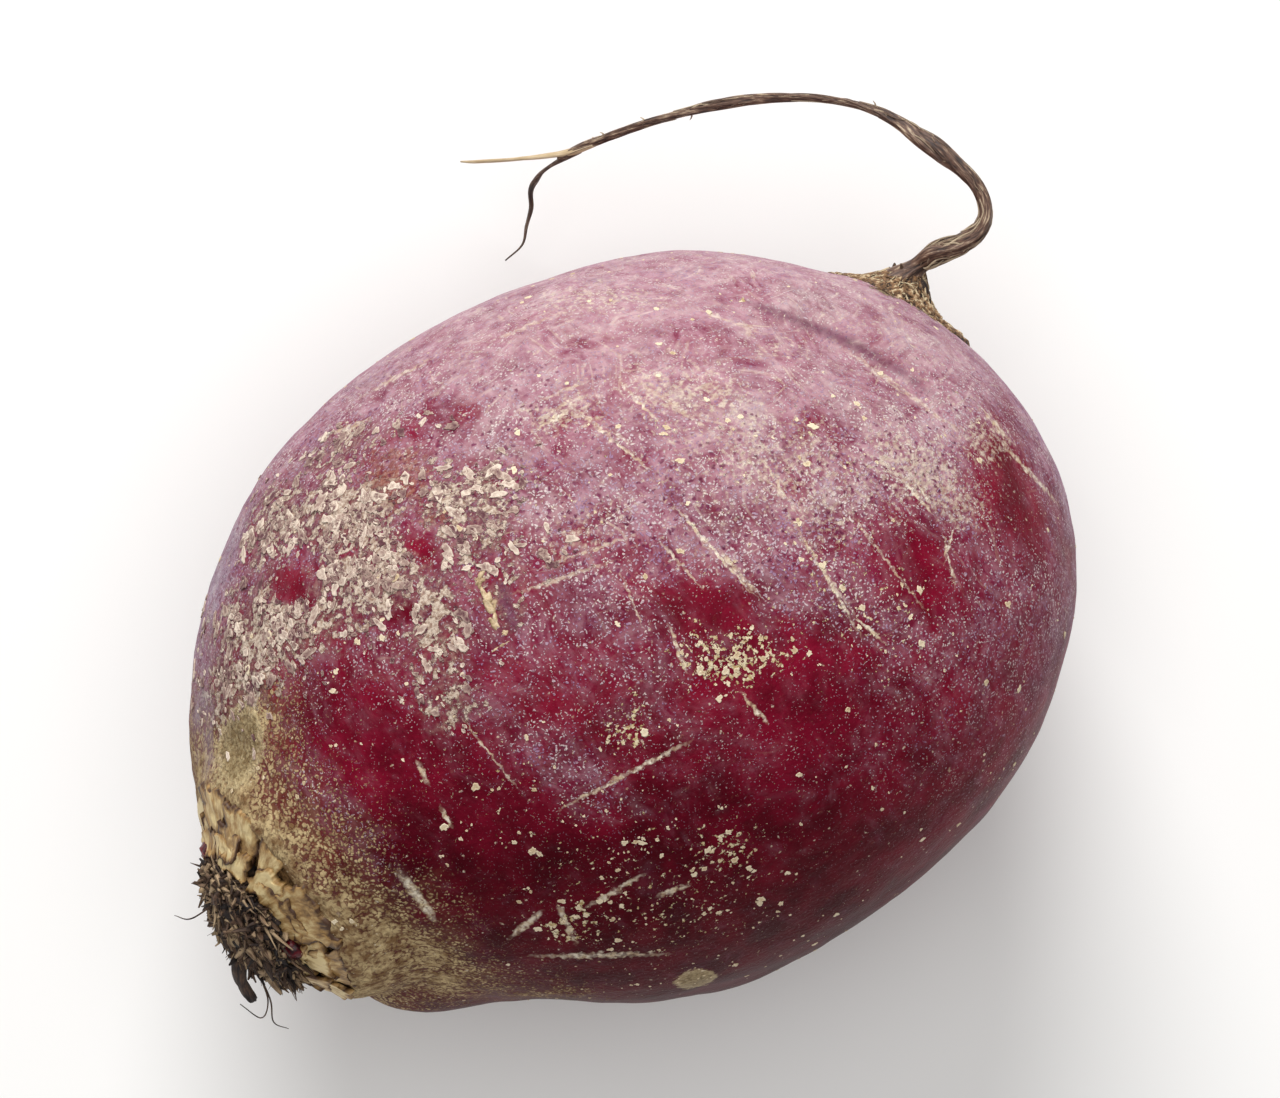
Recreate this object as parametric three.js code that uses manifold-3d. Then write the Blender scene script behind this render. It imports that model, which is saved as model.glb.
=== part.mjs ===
// A large beetroot lying on its side, as lifted and topped: the swollen root with its long wiry
// taproot, the dried leaf bases round its crown, and the torn leaf-stalk stubs inside them.
// Millimetres, +Z up. The origin is the middle of the small flat spot that the beetroot rests on.
// +X runs from the leaf crown to the taproot, and +Y is the side that the taproot curls back along.
import * as THREE from "three";
import { mergeVertices } from "three/addons/utils/BufferGeometryUtils.js";
import Module from "manifold-3d";

const wasm = await Module();
wasm.setup();

// Driving dimensions of the swollen root
const BODY_LENGTH = 95;
const BODY_WIDTH = 76.5;
const BODY_HEIGHT = 74;
const LONG_AXIS_TURN = -22; // degrees about Z: the longest diameter lies askew to the crown-taproot line
const FLAT_DEPTH = 0.9; // how far the flat spot is pressed into the round underside
const BODY_DETAIL = 17;

// Driving dimensions of the crown and the taproot
const CROWN_TOWARD = new THREE.Vector3(-0.96, 0.13, 0.25).normalize();
const CROWN_REACH = 50.5; // from the root's centre to the top of the crown
const CROWN_CURVE = 30; // radius of the crown's dome
const SCALE_RING_RADIUS = 12.7; // where the leaf bases grow out of the crown
const STUB_CLUMP_RADIUS = 7.4;
const STUB_SAG = [0, -1.3, -0.7]; // how far the stubs' tips have sunk to one side
const NECK_TOWARD = new THREE.Vector3(0.987, 0.145, -0.03).normalize();
const NECK_RADIUS = 6;
const NECK_HEIGHT = 3.8;
const GAP = 0.3; // between one piece and the next
const DOME_EDGES = [14.5, 22]; // degrees from its middle between which the crown's dome fades out

const CENTRE = new THREE.Vector3(0, 0, BODY_HEIGHT / 2 - FLAT_DEPTH);

// Swellings (rise above 0) and dents (below 0) of the root, each round a direction from its centre
const SWELLINGS = [
  { toward: [-42.8, -10.3, -2], spread: 10, rise: 3.4 }, // the heel beside the crown
  { toward: [-34, -21, 2], spread: 12, rise: -1.2 },
  { toward: [-40, 20.5, 4], spread: 9, rise: 1.1 }, // the shoulder on the crown's other side
  { toward: [-36, 4.5, 23], spread: 17, rise: 4.3 }, // the cone under the crown, upper side
  { toward: [-44, 5, -9], spread: 14, rise: 1.6 }, // and its lower side
  { toward: [-16, 12, 34], spread: 20, rise: 0.8 },
  { toward: [20, -28, 20], spread: 24, rise: 0.9 },
  { toward: [38, -14, -12], spread: 20, rise: 0.8 },
  { toward: [-20, -39, -4], spread: 8, rise: 0.7 },
  { toward: [-12, -30, -20], spread: 22, rise: 0.8 },
  { toward: [8, 30, -22], spread: 20, rise: -0.7 },
  { toward: [32, 27, 0], spread: 10, rise: 0.7 },
  { toward: [-13, 40, 4], spread: 12, rise: 0.6 },
  { toward: [30, 22, 20], spread: 15, rise: -0.8 },
];

// The crease over the taproot end, as points on the upper side seen from above
const CREASE = [
  [29, 22],
  [31.5, 16],
  [33, 8],
  [35.5, 0],
  [37.5, -10],
  [38, -18],
];
const CREASE_DEPTH = 1.1;
const CREASE_WIDTH = 2.4;

// The taproot, from inside the neck to its fork: its middle line and its radius there
const TAPROOT = [
  { at: [41.5, 6.2, 35.4], radius: 2.4 },
  { at: [47.3, 7.3, 35.9], radius: 1.4 },
  { at: [50.8, 6.7, 36.8], radius: 1.28 },
  { at: [53.5, 5.6, 37.6], radius: 1.1 },
  { at: [55.8, 5.4, 38.3], radius: 0.9 },
  { at: [57.6, 6.6, 38.8], radius: 0.8 },
  { at: [58.6, 9.4, 39], radius: 0.75 },
  { at: [58.3, 13.6, 38.4], radius: 0.92 },
  { at: [57.8, 16.4, 37.8], radius: 0.92 },
  { at: [56.6, 21.1, 36.6], radius: 0.62 },
  { at: [53.9, 25.7, 34.8], radius: 0.52 },
  { at: [49.9, 29.9, 32.2], radius: 0.52 },
  { at: [45, 33.8, 29], radius: 0.6 },
  { at: [39.2, 36.9, 25.2], radius: 0.5 },
  { at: [32.2, 40, 20.2], radius: 0.46 },
  { at: [28.6, 41.4, 17.5], radius: 0.42 },
];
const LONG_FORK = [
  { at: [30.4, 40.7, 18.8], radius: 0.42 },
  { at: [28, 42.4, 16.9], radius: 0.4 },
  { at: [25.6, 44.4, 14.6], radius: 0.36 },
  { at: [22.2, 47.7, 10.6], radius: 0.33 },
  { at: [20.8, 49.3, 8.8], radius: 0.3 },
];
const SHORT_FORK = [
  { at: [30.8, 40.5, 19.1], radius: 0.42 },
  { at: [27.2, 41.6, 16.2], radius: 0.38 },
  { at: [24.6, 41.8, 13.6], radius: 0.38 },
  { at: [23.7, 40.8, 12], radius: 0.34 },
  { at: [21.6, 39.2, 9], radius: 0.34 },
  { at: [19.5, 37.9, 6.6], radius: 0.32 },
  { at: [17, 38, 4.8], radius: 0.3 },
];
const BROKEN_ROOT = [
  { at: [44, 6, 35.8], radius: 1.6 },
  { at: [47.6, 5.9, 36], radius: 1.25 },
  { at: [48.1, 4.6, 35.6], radius: 1 },
  { at: [47.3, 3.4, 35], radius: 0.75 },
];

// The same numbers from 0 to 1 on every run
function seededRandom(seed) {
  let state = seed;
  return () => {
    state = (state + 0x6d2b79f5) | 0;
    let t = Math.imul(state ^ (state >>> 15), 1 | state);
    t = (t + Math.imul(t ^ (t >>> 7), 61 | t)) ^ t;
    return ((t ^ (t >>> 14)) >>> 0) / 4294967296;
  };
}

const between = (low, high, share) => low + (high - low) * share;

// A closed geometry as a solid, and a solid as a geometry
function toSolid(geometry) {
  const bare = geometry.clone();
  bare.deleteAttribute("normal");
  bare.deleteAttribute("uv");
  const merged = mergeVertices(bare, 1e-4);
  return new wasm.Manifold(
    new wasm.Mesh({
      numProp: 3,
      vertProperties: merged.attributes.position.array,
      triVerts: new Uint32Array(merged.index.array),
    }),
  );
}

function toGeometry(solid) {
  const mesh = solid.getMesh();
  const geometry = new THREE.BufferGeometry();
  geometry.setAttribute("position", new THREE.BufferAttribute(mesh.vertProperties, 3));
  geometry.setIndex(new THREE.BufferAttribute(mesh.triVerts, 1));
  geometry.computeVertexNormals();
  return geometry;
}

const unite = (solids) => solids.reduce((whole, solid) => whole.add(solid));

// The main body of a solid, without the slivers that cutting left beside it
const largestPiece = (solid) =>
  solid.decompose().reduce((best, piece) => (piece.volume() > best.volume() ? piece : best));

// How far the crease presses the surface in at a point on the upper side
const creaseLine = new THREE.CatmullRomCurve3(
  CREASE.map(([x, y]) => new THREE.Vector3(x, y, 0)),
).getPoints(40);

function creaseAt(x, y) {
  let nearest = Infinity;
  let place = 0;
  creaseLine.forEach((point, i) => {
    const distance = Math.hypot(point.x - x, point.y - y);
    if (distance < nearest) {
      nearest = distance;
      place = i / (creaseLine.length - 1);
    }
  });
  const fade = Math.sin(Math.PI * between(0.12, 0.95, place));
  return CREASE_DEPTH * fade * Math.exp(-((nearest / CREASE_WIDTH) ** 2));
}

// The crown is a dome on the root's end: the distance to it in a direction, from the root's centre
function domeDistance(cosine) {
  const bend = (1 - cosine * cosine) / (2 * CROWN_CURVE);
  if (bend < 1e-6) return CROWN_REACH;
  return (Math.hypot(cosine, 2 * Math.sqrt(CROWN_REACH * bend)) - cosine) / (2 * bend);
}

// The distance from the root's centre to its skin in a direction: a lopsided egg with its swellings
const turned = new THREE.Vector3();
const upright = new THREE.Vector3(0, 0, 1);

function skinDistance(direction) {
  turned.copy(direction).applyAxisAngle(upright, -THREE.MathUtils.degToRad(LONG_AXIS_TURN));
  let distance =
    1 /
    Math.hypot(
      turned.x / (BODY_LENGTH / 2),
      turned.y / (BODY_WIDTH / 2),
      turned.z / (BODY_HEIGHT / 2),
    );
  for (const { toward, spread, rise } of SWELLINGS) {
    const angle = THREE.MathUtils.radToDeg(direction.angleTo(new THREE.Vector3(...toward)));
    distance += rise * Math.exp(-((angle / spread) ** 2));
  }
  const toCrown = direction.angleTo(CROWN_TOWARD);
  const crown = 1 - THREE.MathUtils.smoothstep(THREE.MathUtils.radToDeg(toCrown), ...DOME_EDGES);
  if (crown > 0) distance = between(distance, domeDistance(Math.cos(toCrown)), crown);
  if (direction.z > 0) {
    distance -= creaseAt(direction.x * distance, direction.y * distance);
  }
  return distance;
}

function bodySolid(growth) {
  const geometry = new THREE.IcosahedronGeometry(1, BODY_DETAIL);
  const position = geometry.attributes.position;
  const direction = new THREE.Vector3();
  for (let i = 0; i < position.count; i++) {
    direction.fromBufferAttribute(position, i).normalize();
    const point = direction.clone().multiplyScalar(skinDistance(direction) + growth).add(CENTRE);
    position.setXYZ(i, point.x, point.y, point.z);
  }
  return toSolid(geometry);
}

// A local frame on the skin: where a direction leaves it, with that direction as the local +Z
function skinFrame(direction) {
  const place = CENTRE.clone().addScaledVector(direction, skinDistance(direction));
  const turn = new THREE.Quaternion().setFromUnitVectors(upright, direction);
  return new THREE.Matrix4().compose(place, turn, new THREE.Vector3(1, 1, 1));
}

// A tapering root along a curve through points, closed at both ends, its section a little flattened
function rootStrand(stations, sides, steps, flatness = 1) {
  const curve = new THREE.CatmullRomCurve3(
    stations.map(({ at }) => new THREE.Vector3(...at)),
    false,
    "centripetal",
  );
  const frames = curve.computeFrenetFrames(steps);
  const vertices = [];
  const faces = [];
  for (let i = 0; i <= steps; i++) {
    const centre = curve.getPointAt(i / steps);
    const along = curve.getUtoTmapping(i / steps) * (stations.length - 1);
    const station = Math.min(Math.floor(along), stations.length - 2);
    const radius = between(stations[station].radius, stations[station + 1].radius, along - station);
    for (let k = 0; k < sides; k++) {
      const angle = (2 * Math.PI * k) / sides;
      const point = centre
        .clone()
        .addScaledVector(frames.normals[i], Math.cos(angle) * radius * flatness)
        .addScaledVector(frames.binormals[i], (Math.sin(angle) * radius) / flatness);
      vertices.push(point.x, point.y, point.z);
      if (i < steps) {
        const next = (k + 1) % sides;
        const [a, b] = [i * sides + k, i * sides + next];
        faces.push(a, b, b + sides, a, b + sides, a + sides);
      }
    }
  }
  for (let k = 1; k < sides - 1; k++) {
    const end = steps * sides;
    faces.push(0, k + 1, k, end, end + k, end + k + 1);
  }
  return solidFrom(vertices, faces);
}

function solidFrom(vertices, faces) {
  return new wasm.Manifold(
    new wasm.Mesh({
      numProp: 3,
      vertProperties: new Float32Array(vertices),
      triVerts: new Uint32Array(faces),
    }),
  );
}

// The corky mound that the taproot grows out of, sunk into the skin
function neckMound() {
  const flare = 7;
  const points = [new THREE.Vector2(0, -4), new THREE.Vector2(NECK_RADIUS, -4)];
  for (let i = 0; i <= flare; i++) {
    const share = i / flare;
    const radius = NECK_RADIUS * between(1, 0.24, share);
    points.push(new THREE.Vector2(radius, between(-1.1, NECK_HEIGHT, share ** 1.7)));
  }
  points.push(new THREE.Vector2(0, NECK_HEIGHT + 0.3));
  const mound = new THREE.LatheGeometry(points, 28);
  const position = mound.attributes.position;
  for (let i = 0; i < position.count; i++) {
    const angle = Math.atan2(position.getZ(i), position.getX(i));
    const bulge = 1 + 0.1 * Math.sin(3 * angle + 1) + 0.06 * Math.sin(7 * angle);
    position.setX(i, position.getX(i) * bulge);
    position.setZ(i, position.getZ(i) * bulge);
  }
  mound.rotateX(Math.PI / 2);
  return toSolid(mound.applyMatrix4(skinFrame(NECK_TOWARD)));
}

// Short side roots torn off round the neck mound
function neckRootlets() {
  const random = seededRandom(7);
  const frame = skinFrame(NECK_TOWARD);
  const count = 8;
  return Array.from({ length: count }, (_, i) => {
    const angle = ((i + 0.8 * random()) / count) * 2 * Math.PI;
    const length = between(1.2, 2.8, random());
    const foot = between(1.8, 3.6, random());
    const bend = between(-0.9, 0.9, random());
    const stations = [0, 0.5, 1].map((share) => {
      const reach = foot - 0.8 + length * share;
      const turn = angle + (bend * share) / 3;
      const height = 2.6 - 0.62 * foot + between(-1, length * 0.3, share);
      const local = new THREE.Vector3(reach * Math.cos(turn), reach * Math.sin(turn), height);
      return { at: local.applyMatrix4(frame).toArray(), radius: between(0.7, 0.33, share) };
    });
    return rootStrand(stations, 6, 5);
  });
}

function makeRoot() {
  const ground = new THREE.BoxGeometry(200, 200, 20).translate(0, 0, -10);
  return unite([
    bodySolid(0),
    neckMound(),
    rootStrand(TAPROOT, 10, 70, 1.06),
    rootStrand(LONG_FORK, 7, 12),
    rootStrand(SHORT_FORK, 7, 18),
    rootStrand(BROKEN_ROOT, 8, 10, 1.15),
    ...neckRootlets(),
  ]).subtract(toSolid(ground));
}

// The crown's frame, with its top as the middle, and the skin's height there at a distance from it
const crownFrame = skinFrame(CROWN_TOWARD);
const skinHeight = (distance) => (-distance * distance) / (2 * CROWN_CURVE);

function onCrown(distance, angle, height) {
  return new THREE.Vector3(distance * Math.cos(angle), distance * Math.sin(angle), height)
    .applyMatrix4(crownFrame)
    .toArray();
}

// A dried leaf base: a curved blade that grows inwards over the crown, with a torn free edge
function leafBase(angle, { root, tip, halfWidth, foot, rise, thick }, random) {
  const across = 5;
  const along = 3;
  const tilt = between(-0.45, 0.45, random());
  const tears = Array.from({ length: across + 1 }, () => between(-0.7, 1.1, random()));
  const hems = Array.from({ length: across + 1 }, () => between(-0.5, 0.3, random()));
  const vertices = [];
  const faces = [];
  for (const below of [0, thick]) {
    for (let j = 0; j <= along; j++) {
      for (let i = 0; i <= across; i++) {
        const u = (2 * i) / across - 1;
        const v = j / along;
        const reach = between(root + hems[i], tip + tears[i], v);
        const turn = angle + u * halfWidth * between(0.92, 1.08, Math.sin(Math.PI * v));
        const lift = between(foot, rise, v ** 1.4) - 0.45 * u * u + tilt * u * v - below;
        vertices.push(...onCrown(reach, turn, skinHeight(reach) + lift));
      }
    }
  }
  const row = across + 1;
  const layer = row * (along + 1);
  for (let j = 0; j < along; j++) {
    for (let i = 0; i < across; i++) {
      const a = j * row + i;
      const b = a + layer;
      faces.push(a, a + 1, a + row + 1, a, a + row + 1, a + row);
      faces.push(b, b + row + 1, b + 1, b, b + row, b + row + 1);
    }
  }
  const rim = [];
  for (let i = 0; i < across; i++) rim.push(i);
  for (let j = 0; j < along; j++) rim.push(j * row + across);
  for (let i = across; i > 0; i--) rim.push(along * row + i);
  for (let j = along; j > 0; j--) rim.push(j * row);
  rim.forEach((a, k) => {
    const b = rim[(k + 1) % rim.length];
    faces.push(a, a + layer, b + layer, a, b + layer, b);
  });
  const solid = solidFrom(vertices, faces);
  return solid.volume() < 0 ? solidFrom(vertices, faces.reverse()) : solid;
}

// A ring round the crown, from its section as distances from the middle and heights off the skin
function crownRing(section, sides) {
  const points = section.map(
    ([radius, lift]) => new THREE.Vector2(radius, skinHeight(radius) + lift),
  );
  return toSolid(
    new THREE.LatheGeometry(points, sides).rotateX(Math.PI / 2).applyMatrix4(crownFrame),
  );
}

// The ring of leaf bases, grown together at their roots
function makeLeafScales() {
  const random = seededRandom(21);
  const rows = [
    { count: 9, root: SCALE_RING_RADIUS, tip: 8.9, foot: 0.6, rise: 1.5, thick: 1.8 },
    { count: 8, root: 10.6, tip: 8.7, foot: 0.9, rise: 2.9, thick: 1.6 },
  ];
  const blades = rows.flatMap((row) =>
    Array.from({ length: row.count }, (_, i) => {
      const angle = ((i + between(-0.12, 0.12, random())) / row.count) * 2 * Math.PI + row.rise;
      const halfWidth = (Math.PI / row.count) * between(0.8, 0.96, random());
      return leafBase(angle, { ...row, halfWidth, tip: row.tip + random() * 0.6 }, random);
    }),
  );
  const ring = crownRing(
    [
      [8.5, -2],
      [SCALE_RING_RADIUS - 0.3, -2],
      [SCALE_RING_RADIUS - 0.3, 0.1],
      [SCALE_RING_RADIUS - 1.2, 0.5],
      [9.4, 0.9],
      [8.5, 0.8],
      [8.5, -2],
    ],
    44,
  );
  return largestPiece(unite([ring, ...blades]).subtract(bodySolid(GAP)));
}

// The torn leaf-stalk stubs: bent, ragged strands crowded on a low core
function makeStalkStubs() {
  const random = seededRandom(5);
  const inner = STUB_CLUMP_RADIUS - 0.9;
  const core = crownRing(
    [
      [0, -2],
      [inner, -2],
      [inner + 0.3, 0.7],
      [inner - 1, 1.9],
      [4, 2.7],
      [1.8, 2.9],
      [0, 3],
    ],
    26,
  );
  const count = 40;
  const goldenAngle = Math.PI * (3 - Math.sqrt(5));
  const strands = Array.from({ length: count }, (_, i) => {
    const distance = (inner - 0.9) * Math.sqrt((i + 0.5) / count);
    const angle = i * goldenAngle;
    const lean = 0.75 * (distance / inner) * between(0.5, 1.15, random());
    const length = between(2, 5, random() ** 1.3);
    const side = between(-1.6, 1.6, random());
    const width = between(0.6, 1.15, random() ** 2);
    const stations = [0, 0.35, 0.7, 1].map((share) => {
      const reach = distance + share * share * length * Math.sin(lean) * 0.7;
      const turn = angle + (side * share * share) / (2 + distance);
      const height = skinHeight(distance) + between(0.5, 2.4 + length * Math.cos(lean), share);
      const place = onCrown(Math.min(reach, STUB_CLUMP_RADIUS - 0.7), turn, height);
      const at = place.map((value, k) => value + STUB_SAG[k] * share);
      return { at, radius: width * (1 - 0.6 * share * share) };
    });
    return rootStrand(stations, 5, 4, 1.3);
  });
  return unite([core, ...strands]);
}

function named(name, solid, color, roughness) {
  const material = new THREE.MeshStandardMaterial({ color, roughness, metalness: 0 });
  const mesh = new THREE.Mesh(toGeometry(solid), material);
  mesh.name = name;
  return mesh;
}

const scales = makeLeafScales();
const stubs = makeStalkStubs().subtract(bodySolid(GAP));

const beetroot = new THREE.Group();
beetroot.add(
  named("root", makeRoot(), 0x701b36, 0.5),
  named("leaf_scales", scales, 0xb09a6c, 0.85),
  named("stalk_stubs", stubs, 0x4b3b2c, 0.9),
);

export default beetroot;
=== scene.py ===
# A large beetroot lying on its side: wine-red skin with a dull mauve bloom, tan corky scurf round
# the crown, papery torn leaf bases, a tuft of shredded leaf stalks, and a long curled taproot.
import math
import random
from collections import namedtuple

import bpy
import numpy as np
from mathutils import Matrix, Vector, noise


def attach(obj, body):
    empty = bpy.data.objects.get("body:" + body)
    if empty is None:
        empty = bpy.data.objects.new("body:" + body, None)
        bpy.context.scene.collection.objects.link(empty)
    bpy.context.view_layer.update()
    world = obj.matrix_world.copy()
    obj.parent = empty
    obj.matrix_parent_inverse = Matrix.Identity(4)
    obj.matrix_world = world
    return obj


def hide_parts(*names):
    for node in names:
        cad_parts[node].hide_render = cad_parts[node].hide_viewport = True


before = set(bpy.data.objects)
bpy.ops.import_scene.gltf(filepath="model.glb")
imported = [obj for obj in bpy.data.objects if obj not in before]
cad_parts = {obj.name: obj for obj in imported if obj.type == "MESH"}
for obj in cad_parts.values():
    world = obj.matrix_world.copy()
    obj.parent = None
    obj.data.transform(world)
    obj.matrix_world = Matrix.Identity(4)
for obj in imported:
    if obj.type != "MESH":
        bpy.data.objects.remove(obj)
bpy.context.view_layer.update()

MM = 0.001
UP = np.array((0.0, 0.0, 1.0))


def unit(vector):
    vector = np.asarray(vector, float)
    return vector / np.linalg.norm(vector)


# The swollen root, in millimetres, about its own centre
CENTRE = np.array((0.0, 0.0, 36.1))
BODY_SIZE = np.array((95.0, 76.5, 74.0))
LONG_AXIS_TURN = -22.0
CROWN_REACH = 50.5
CROWN_CURVE = 30.0
DOME_EDGES = (14.5, 22.0)
NECK_CURVE = 36.0
NECK_HEIGHT = 3.8
CREASE_DEPTH = 1.6
CREASE_WALLS = (1.1, 3.6)
CROWN_TOWARD = unit((-0.96, 0.13, 0.25))
NECK_TOWARD = unit((0.987, 0.145, -0.03))

# How finely the skin's six grids, a curve between two stations, and the crease are divided
SKIN_GRID = 124
CURVE_STEPS = 24
CREASE_STEPS = 60

# Seen from above with the crown at the lower left, these run to the right and up the view
VIEW_RIGHT = np.array((0.7206, -0.6934, 0.0))
VIEW_UP = np.array((0.6934, 0.7206, 0.0))
# Which way the skin is streaked, and which way it was rubbed
STREAK_WAY = VIEW_RIGHT * 0.64 - VIEW_UP * 0.77
RUB_WAY = VIEW_RIGHT * 0.88 + VIEW_UP * 0.47

# Swellings and dents of the root: direction, spread in degrees, rise in millimetres
SWELLINGS = (
    ((-42.8, -10.3, -2), 10, 3.4),
    ((-34, -21, 2), 12, -1.2),
    ((-40, 20.5, 4), 9, 1.1),
    ((-36, 4.5, 23), 17, 4.3),
    ((-44, 5, -9), 14, 1.6),
    ((-16, 12, 34), 20, 0.8),
    ((20, -28, 20), 24, 0.9),
    ((38, -14, -12), 20, 0.8),
    ((-20, -39, -4), 8, 0.7),
    ((-12, -30, -20), 22, 0.8),
    ((8, 30, -22), 20, -0.7),
    ((32, 27, 0), 10, 0.7),
    ((-13, 40, 4), 12, 0.6),
    ((30, 22, 20), 15, -0.8),
)

# The crease over the taproot end, to the right and up the view, and how deep it is along its way
CREASE = ((7, 36.6), (12, 34.6), (18, 32.2), (23.5, 29.6), (29.5, 25.8), (36, 20.8), (43, 15))
CREASE_FADE = ((0, 0.16, 0.42, 0.65, 1), (0, 0.8, 1, 0.5, 0.15))

# The taproot's middle line and radius, from inside the neck to its fork, and its branches
TAPROOT = (
    ((42.5, 6.3, 35.4), 3.4),
    ((45.8, 6.9, 35.7), 1.9),
    ((48.3, 7.0, 36.0), 0.95),
    ((50.6, 6.7, 36.7), 1.25),
    ((53.5, 5.6, 37.6), 1.12),
    ((55.8, 5.4, 38.3), 0.9),
    ((57.6, 6.6, 38.8), 0.74),
    ((58.6, 9.4, 39), 0.68),
    ((58.4, 13.7, 38.4), 0.86),
    ((58.0, 16.5, 37.8), 0.84),
    ((56.8, 21.3, 36.6), 0.56),
    ((54.2, 25.9, 34.8), 0.42),
    ((50.3, 30.2, 32.2), 0.46),
    ((45.4, 34.2, 29), 0.58),
    ((39.8, 37.6, 25.2), 0.46),
    ((33.1, 41.0, 20.2), 0.4),
    ((29.5, 42.4, 17.5), 0.3),
)
LONG_FORK = (
    ((33.2, 40.8, 20.3), 0.34),
    ((31.1, 41.8, 18.7), 0.36),
    ((28.9, 43.4, 16.9), 0.3),
    ((26.5, 45.4, 14.6), 0.26),
    ((23.1, 48.5, 10.6), 0.18),
    ((21.8, 49.9, 8.8), 0.08),
)
SHORT_FORK = (
    ((31.7, 41.4, 19.1), 0.36),
    ((28.1, 42.5, 16.2), 0.24),
    ((26.1, 42.5, 14.2), 0.34),
    ((24.9, 42.1, 12.4), 0.24),
    ((23.8, 40.9, 10.6), 0.24),
    ((22.1, 39.9, 8.4), 0.22),
    ((20.4, 38.8, 6.6), 0.15),
    ((17.9, 38.9, 4.8), 0.07),
)
BROKEN_ROOT = (
    ((45.4, 6.3, 35.4), 0.85),
    ((46.9, 6.2, 36.0), 0.62),
    ((47.2, 5.3, 36.0), 0.56),
    ((46.9, 4.5, 35.9), 0.5),
    ((46.5, 3.8, 35.7), 0.54),
    ((46.1, 3.2, 35.5), 0.44),
    ((46.0, 2.8, 35.4), 0.2),
)

# Patches of the upper side, in millimetres from the root's centre as seen from above: place to
# the right, place up, half length, half width, turn in degrees, strength. First the scaly scurf,
# bare red skin, dried soil, cream flecks and rust
SCURF_PATCHES = (
    (-30.2, 12.4, 7, 3.6, 12, 1),
    (-36.4, 1.2, 8, 5, 20, 1),
    (-27, 6, 6, 5.6, 0, 0.95),
    (-20.6, 1.6, 4, 7.6, 5, 0.82),
    (-16.6, 12.6, 6, 6.4, 20, 0.8),
    (-40.6, -5.6, 5, 4, 60, 0.95),
    (-36.4, 11.4, 5, 3.2, 55, 0.85),
    (-18.4, -6.6, 3, 3.4, 0, 0.75),
    (-30.6, 18.6, 5, 2, 35, 0.66),
    (-13.6, 4, 3, 4.6, 15, 0.6),
    (-24, 21, 6, 1.6, 30, 0.45),
    (-9.6, 7.4, 5, 3, 20, 0.4),
)
RED_PATCHES = (
    (7.8, 2.3, 5.6, 3.2, -12, 1),
    (14.6, -4.6, 8, 5.4, -20, 0.9),
    (12, -23, 12, 8, 0, 0.8),
    (18.3, 23.1, 4.2, 3, -20, 0.1),
    (7.3, 31.2, 3.4, 1.6, -20, 0.12),
    (-5.5, 19.1, 3.8, 2.8, -40, 0.16),
    (29.2, 6.8, 6, 4, -55, 0.85),
    (39.8, 13.6, 7.4, 3.6, -62, 0.95),
    (-25.4, -11.4, 8.4, 4.6, -55, 0.86),
    (-17.6, -22.6, 9, 6.4, -50, 0.82),
    (-4, -27, 11, 6, -20, 0.85),
    (-22, 21.6, 5, 1.6, 35, 0.4),
    (-34.8, 4.8, 1.9, 1.4, 0, 1),
    (-23.6, 2.2, 1.6, 1.2, 30, 0.9),
    (-22, 9.4, 2.4, 1.4, -40, 0.7),
)
DRY_PATCHES = (
    (30.4, 15.8, 8, 4.4, -35, 1),
    (36.6, 19.4, 3.4, 3, 0, 0.95),
    (5, 25, 9, 3.6, -10, 0.75),
    (14.1, 29.5, 4, 2, 0, 0.7),
    (17.2, 11.4, 6, 3, -35, 0.6),
    (-2.6, 34.6, 13, 2.6, 2, 0.6),
    (-7.4, 22.6, 4.4, 1.6, 22, 0.95),
    (-4.8, 10.6, 8, 2.2, 22, 0.7),
    (-20, 26.4, 8, 2, 32, 0.6),
    (22, 33, 7, 1.6, -25, 0.6),
    (20, 15, 14, 6, -30, 0.76),
)
FLECK_PATCHES = (
    (10, -2.1, 6.6, 3, 5, 1),
    (-1.2, -9.2, 3, 2.4, 30, 0.95),
    (9, -21.6, 4, 2.4, 30, 0.8),
    (-6.6, -29.6, 3.4, 2.4, 0, 0.9),
    (2, -26, 15, 8, 0, 0.5),
    (-12, -17, 12, 8, 0, 0.34),
    (22, 4, 10, 7, -40, 0.5),
    (3.1, 21.6, 2.6, 1.2, -20, 0.6),
    (9.5, 16.3, 1.4, 1, 0, 0.6),
    (16.5, 20, 2.8, 1.2, -50, 0.55),
    (22.9, 17.2, 3.2, 2, -40, 0.55),
    (10.6, 34.8, 1.8, 0.8, 0, 0.55),
    (-9.7, 15.8, 1.6, 1.2, 0, 0.5),
    (33.4, 24.2, 1.6, 0.8, -40, 0.6),
    (5, 22, 24, 8, -20, 0.16),
)
RUST_PATCHES = (
    (-24.6, 16.4, 4, 3.2, 0, 1),
    (-20.4, 12.4, 3, 1.6, -20, 0.55),
    (-36.2, -11, 1.8, 3, 0, 0.4),
)

# Places dustier than the skin about them, painted paler partly as sheen; the first, along the
# edge near the crown, is a painted reflection
DUST_AND_SHEEN_PATCHES = (
    (-43, 3, 12, 4, 80, 0.7),
    (-9, -3, 13, 6, -15, 0.32),
    (4, 11, 12, 6, -25, 0.6),
    (14, 6, 7, 4, -35, 0.6),
    (-7, -13, 9, 4, -40, 0.46),
    (-18, -5, 8, 4, -30, 0.48),
    (13, 21, 9, 5, -35, 0.8),
    (33, 23, 7, 5, -30, 1),
    (24, 12, 9, 5, -35, 0.7),
    (-30, -17, 10, 3, -50, 0.34),
)
# Tan cork low on the crown's side, and a painted shadow beside the sap scab
COLLAR_PATCHES = (
    (-25, -34.5, 13, 3, -10, 1),
    (-38.6, -10, 4, 7, -15, 0.85),
    (-10, -37.5, 8, 1.4, 0, 0.6),
)
SCAB_SHADOW_PATCHES = ((-12.8, 3.2, 3, 0.8, -71, 0.9),)
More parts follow.
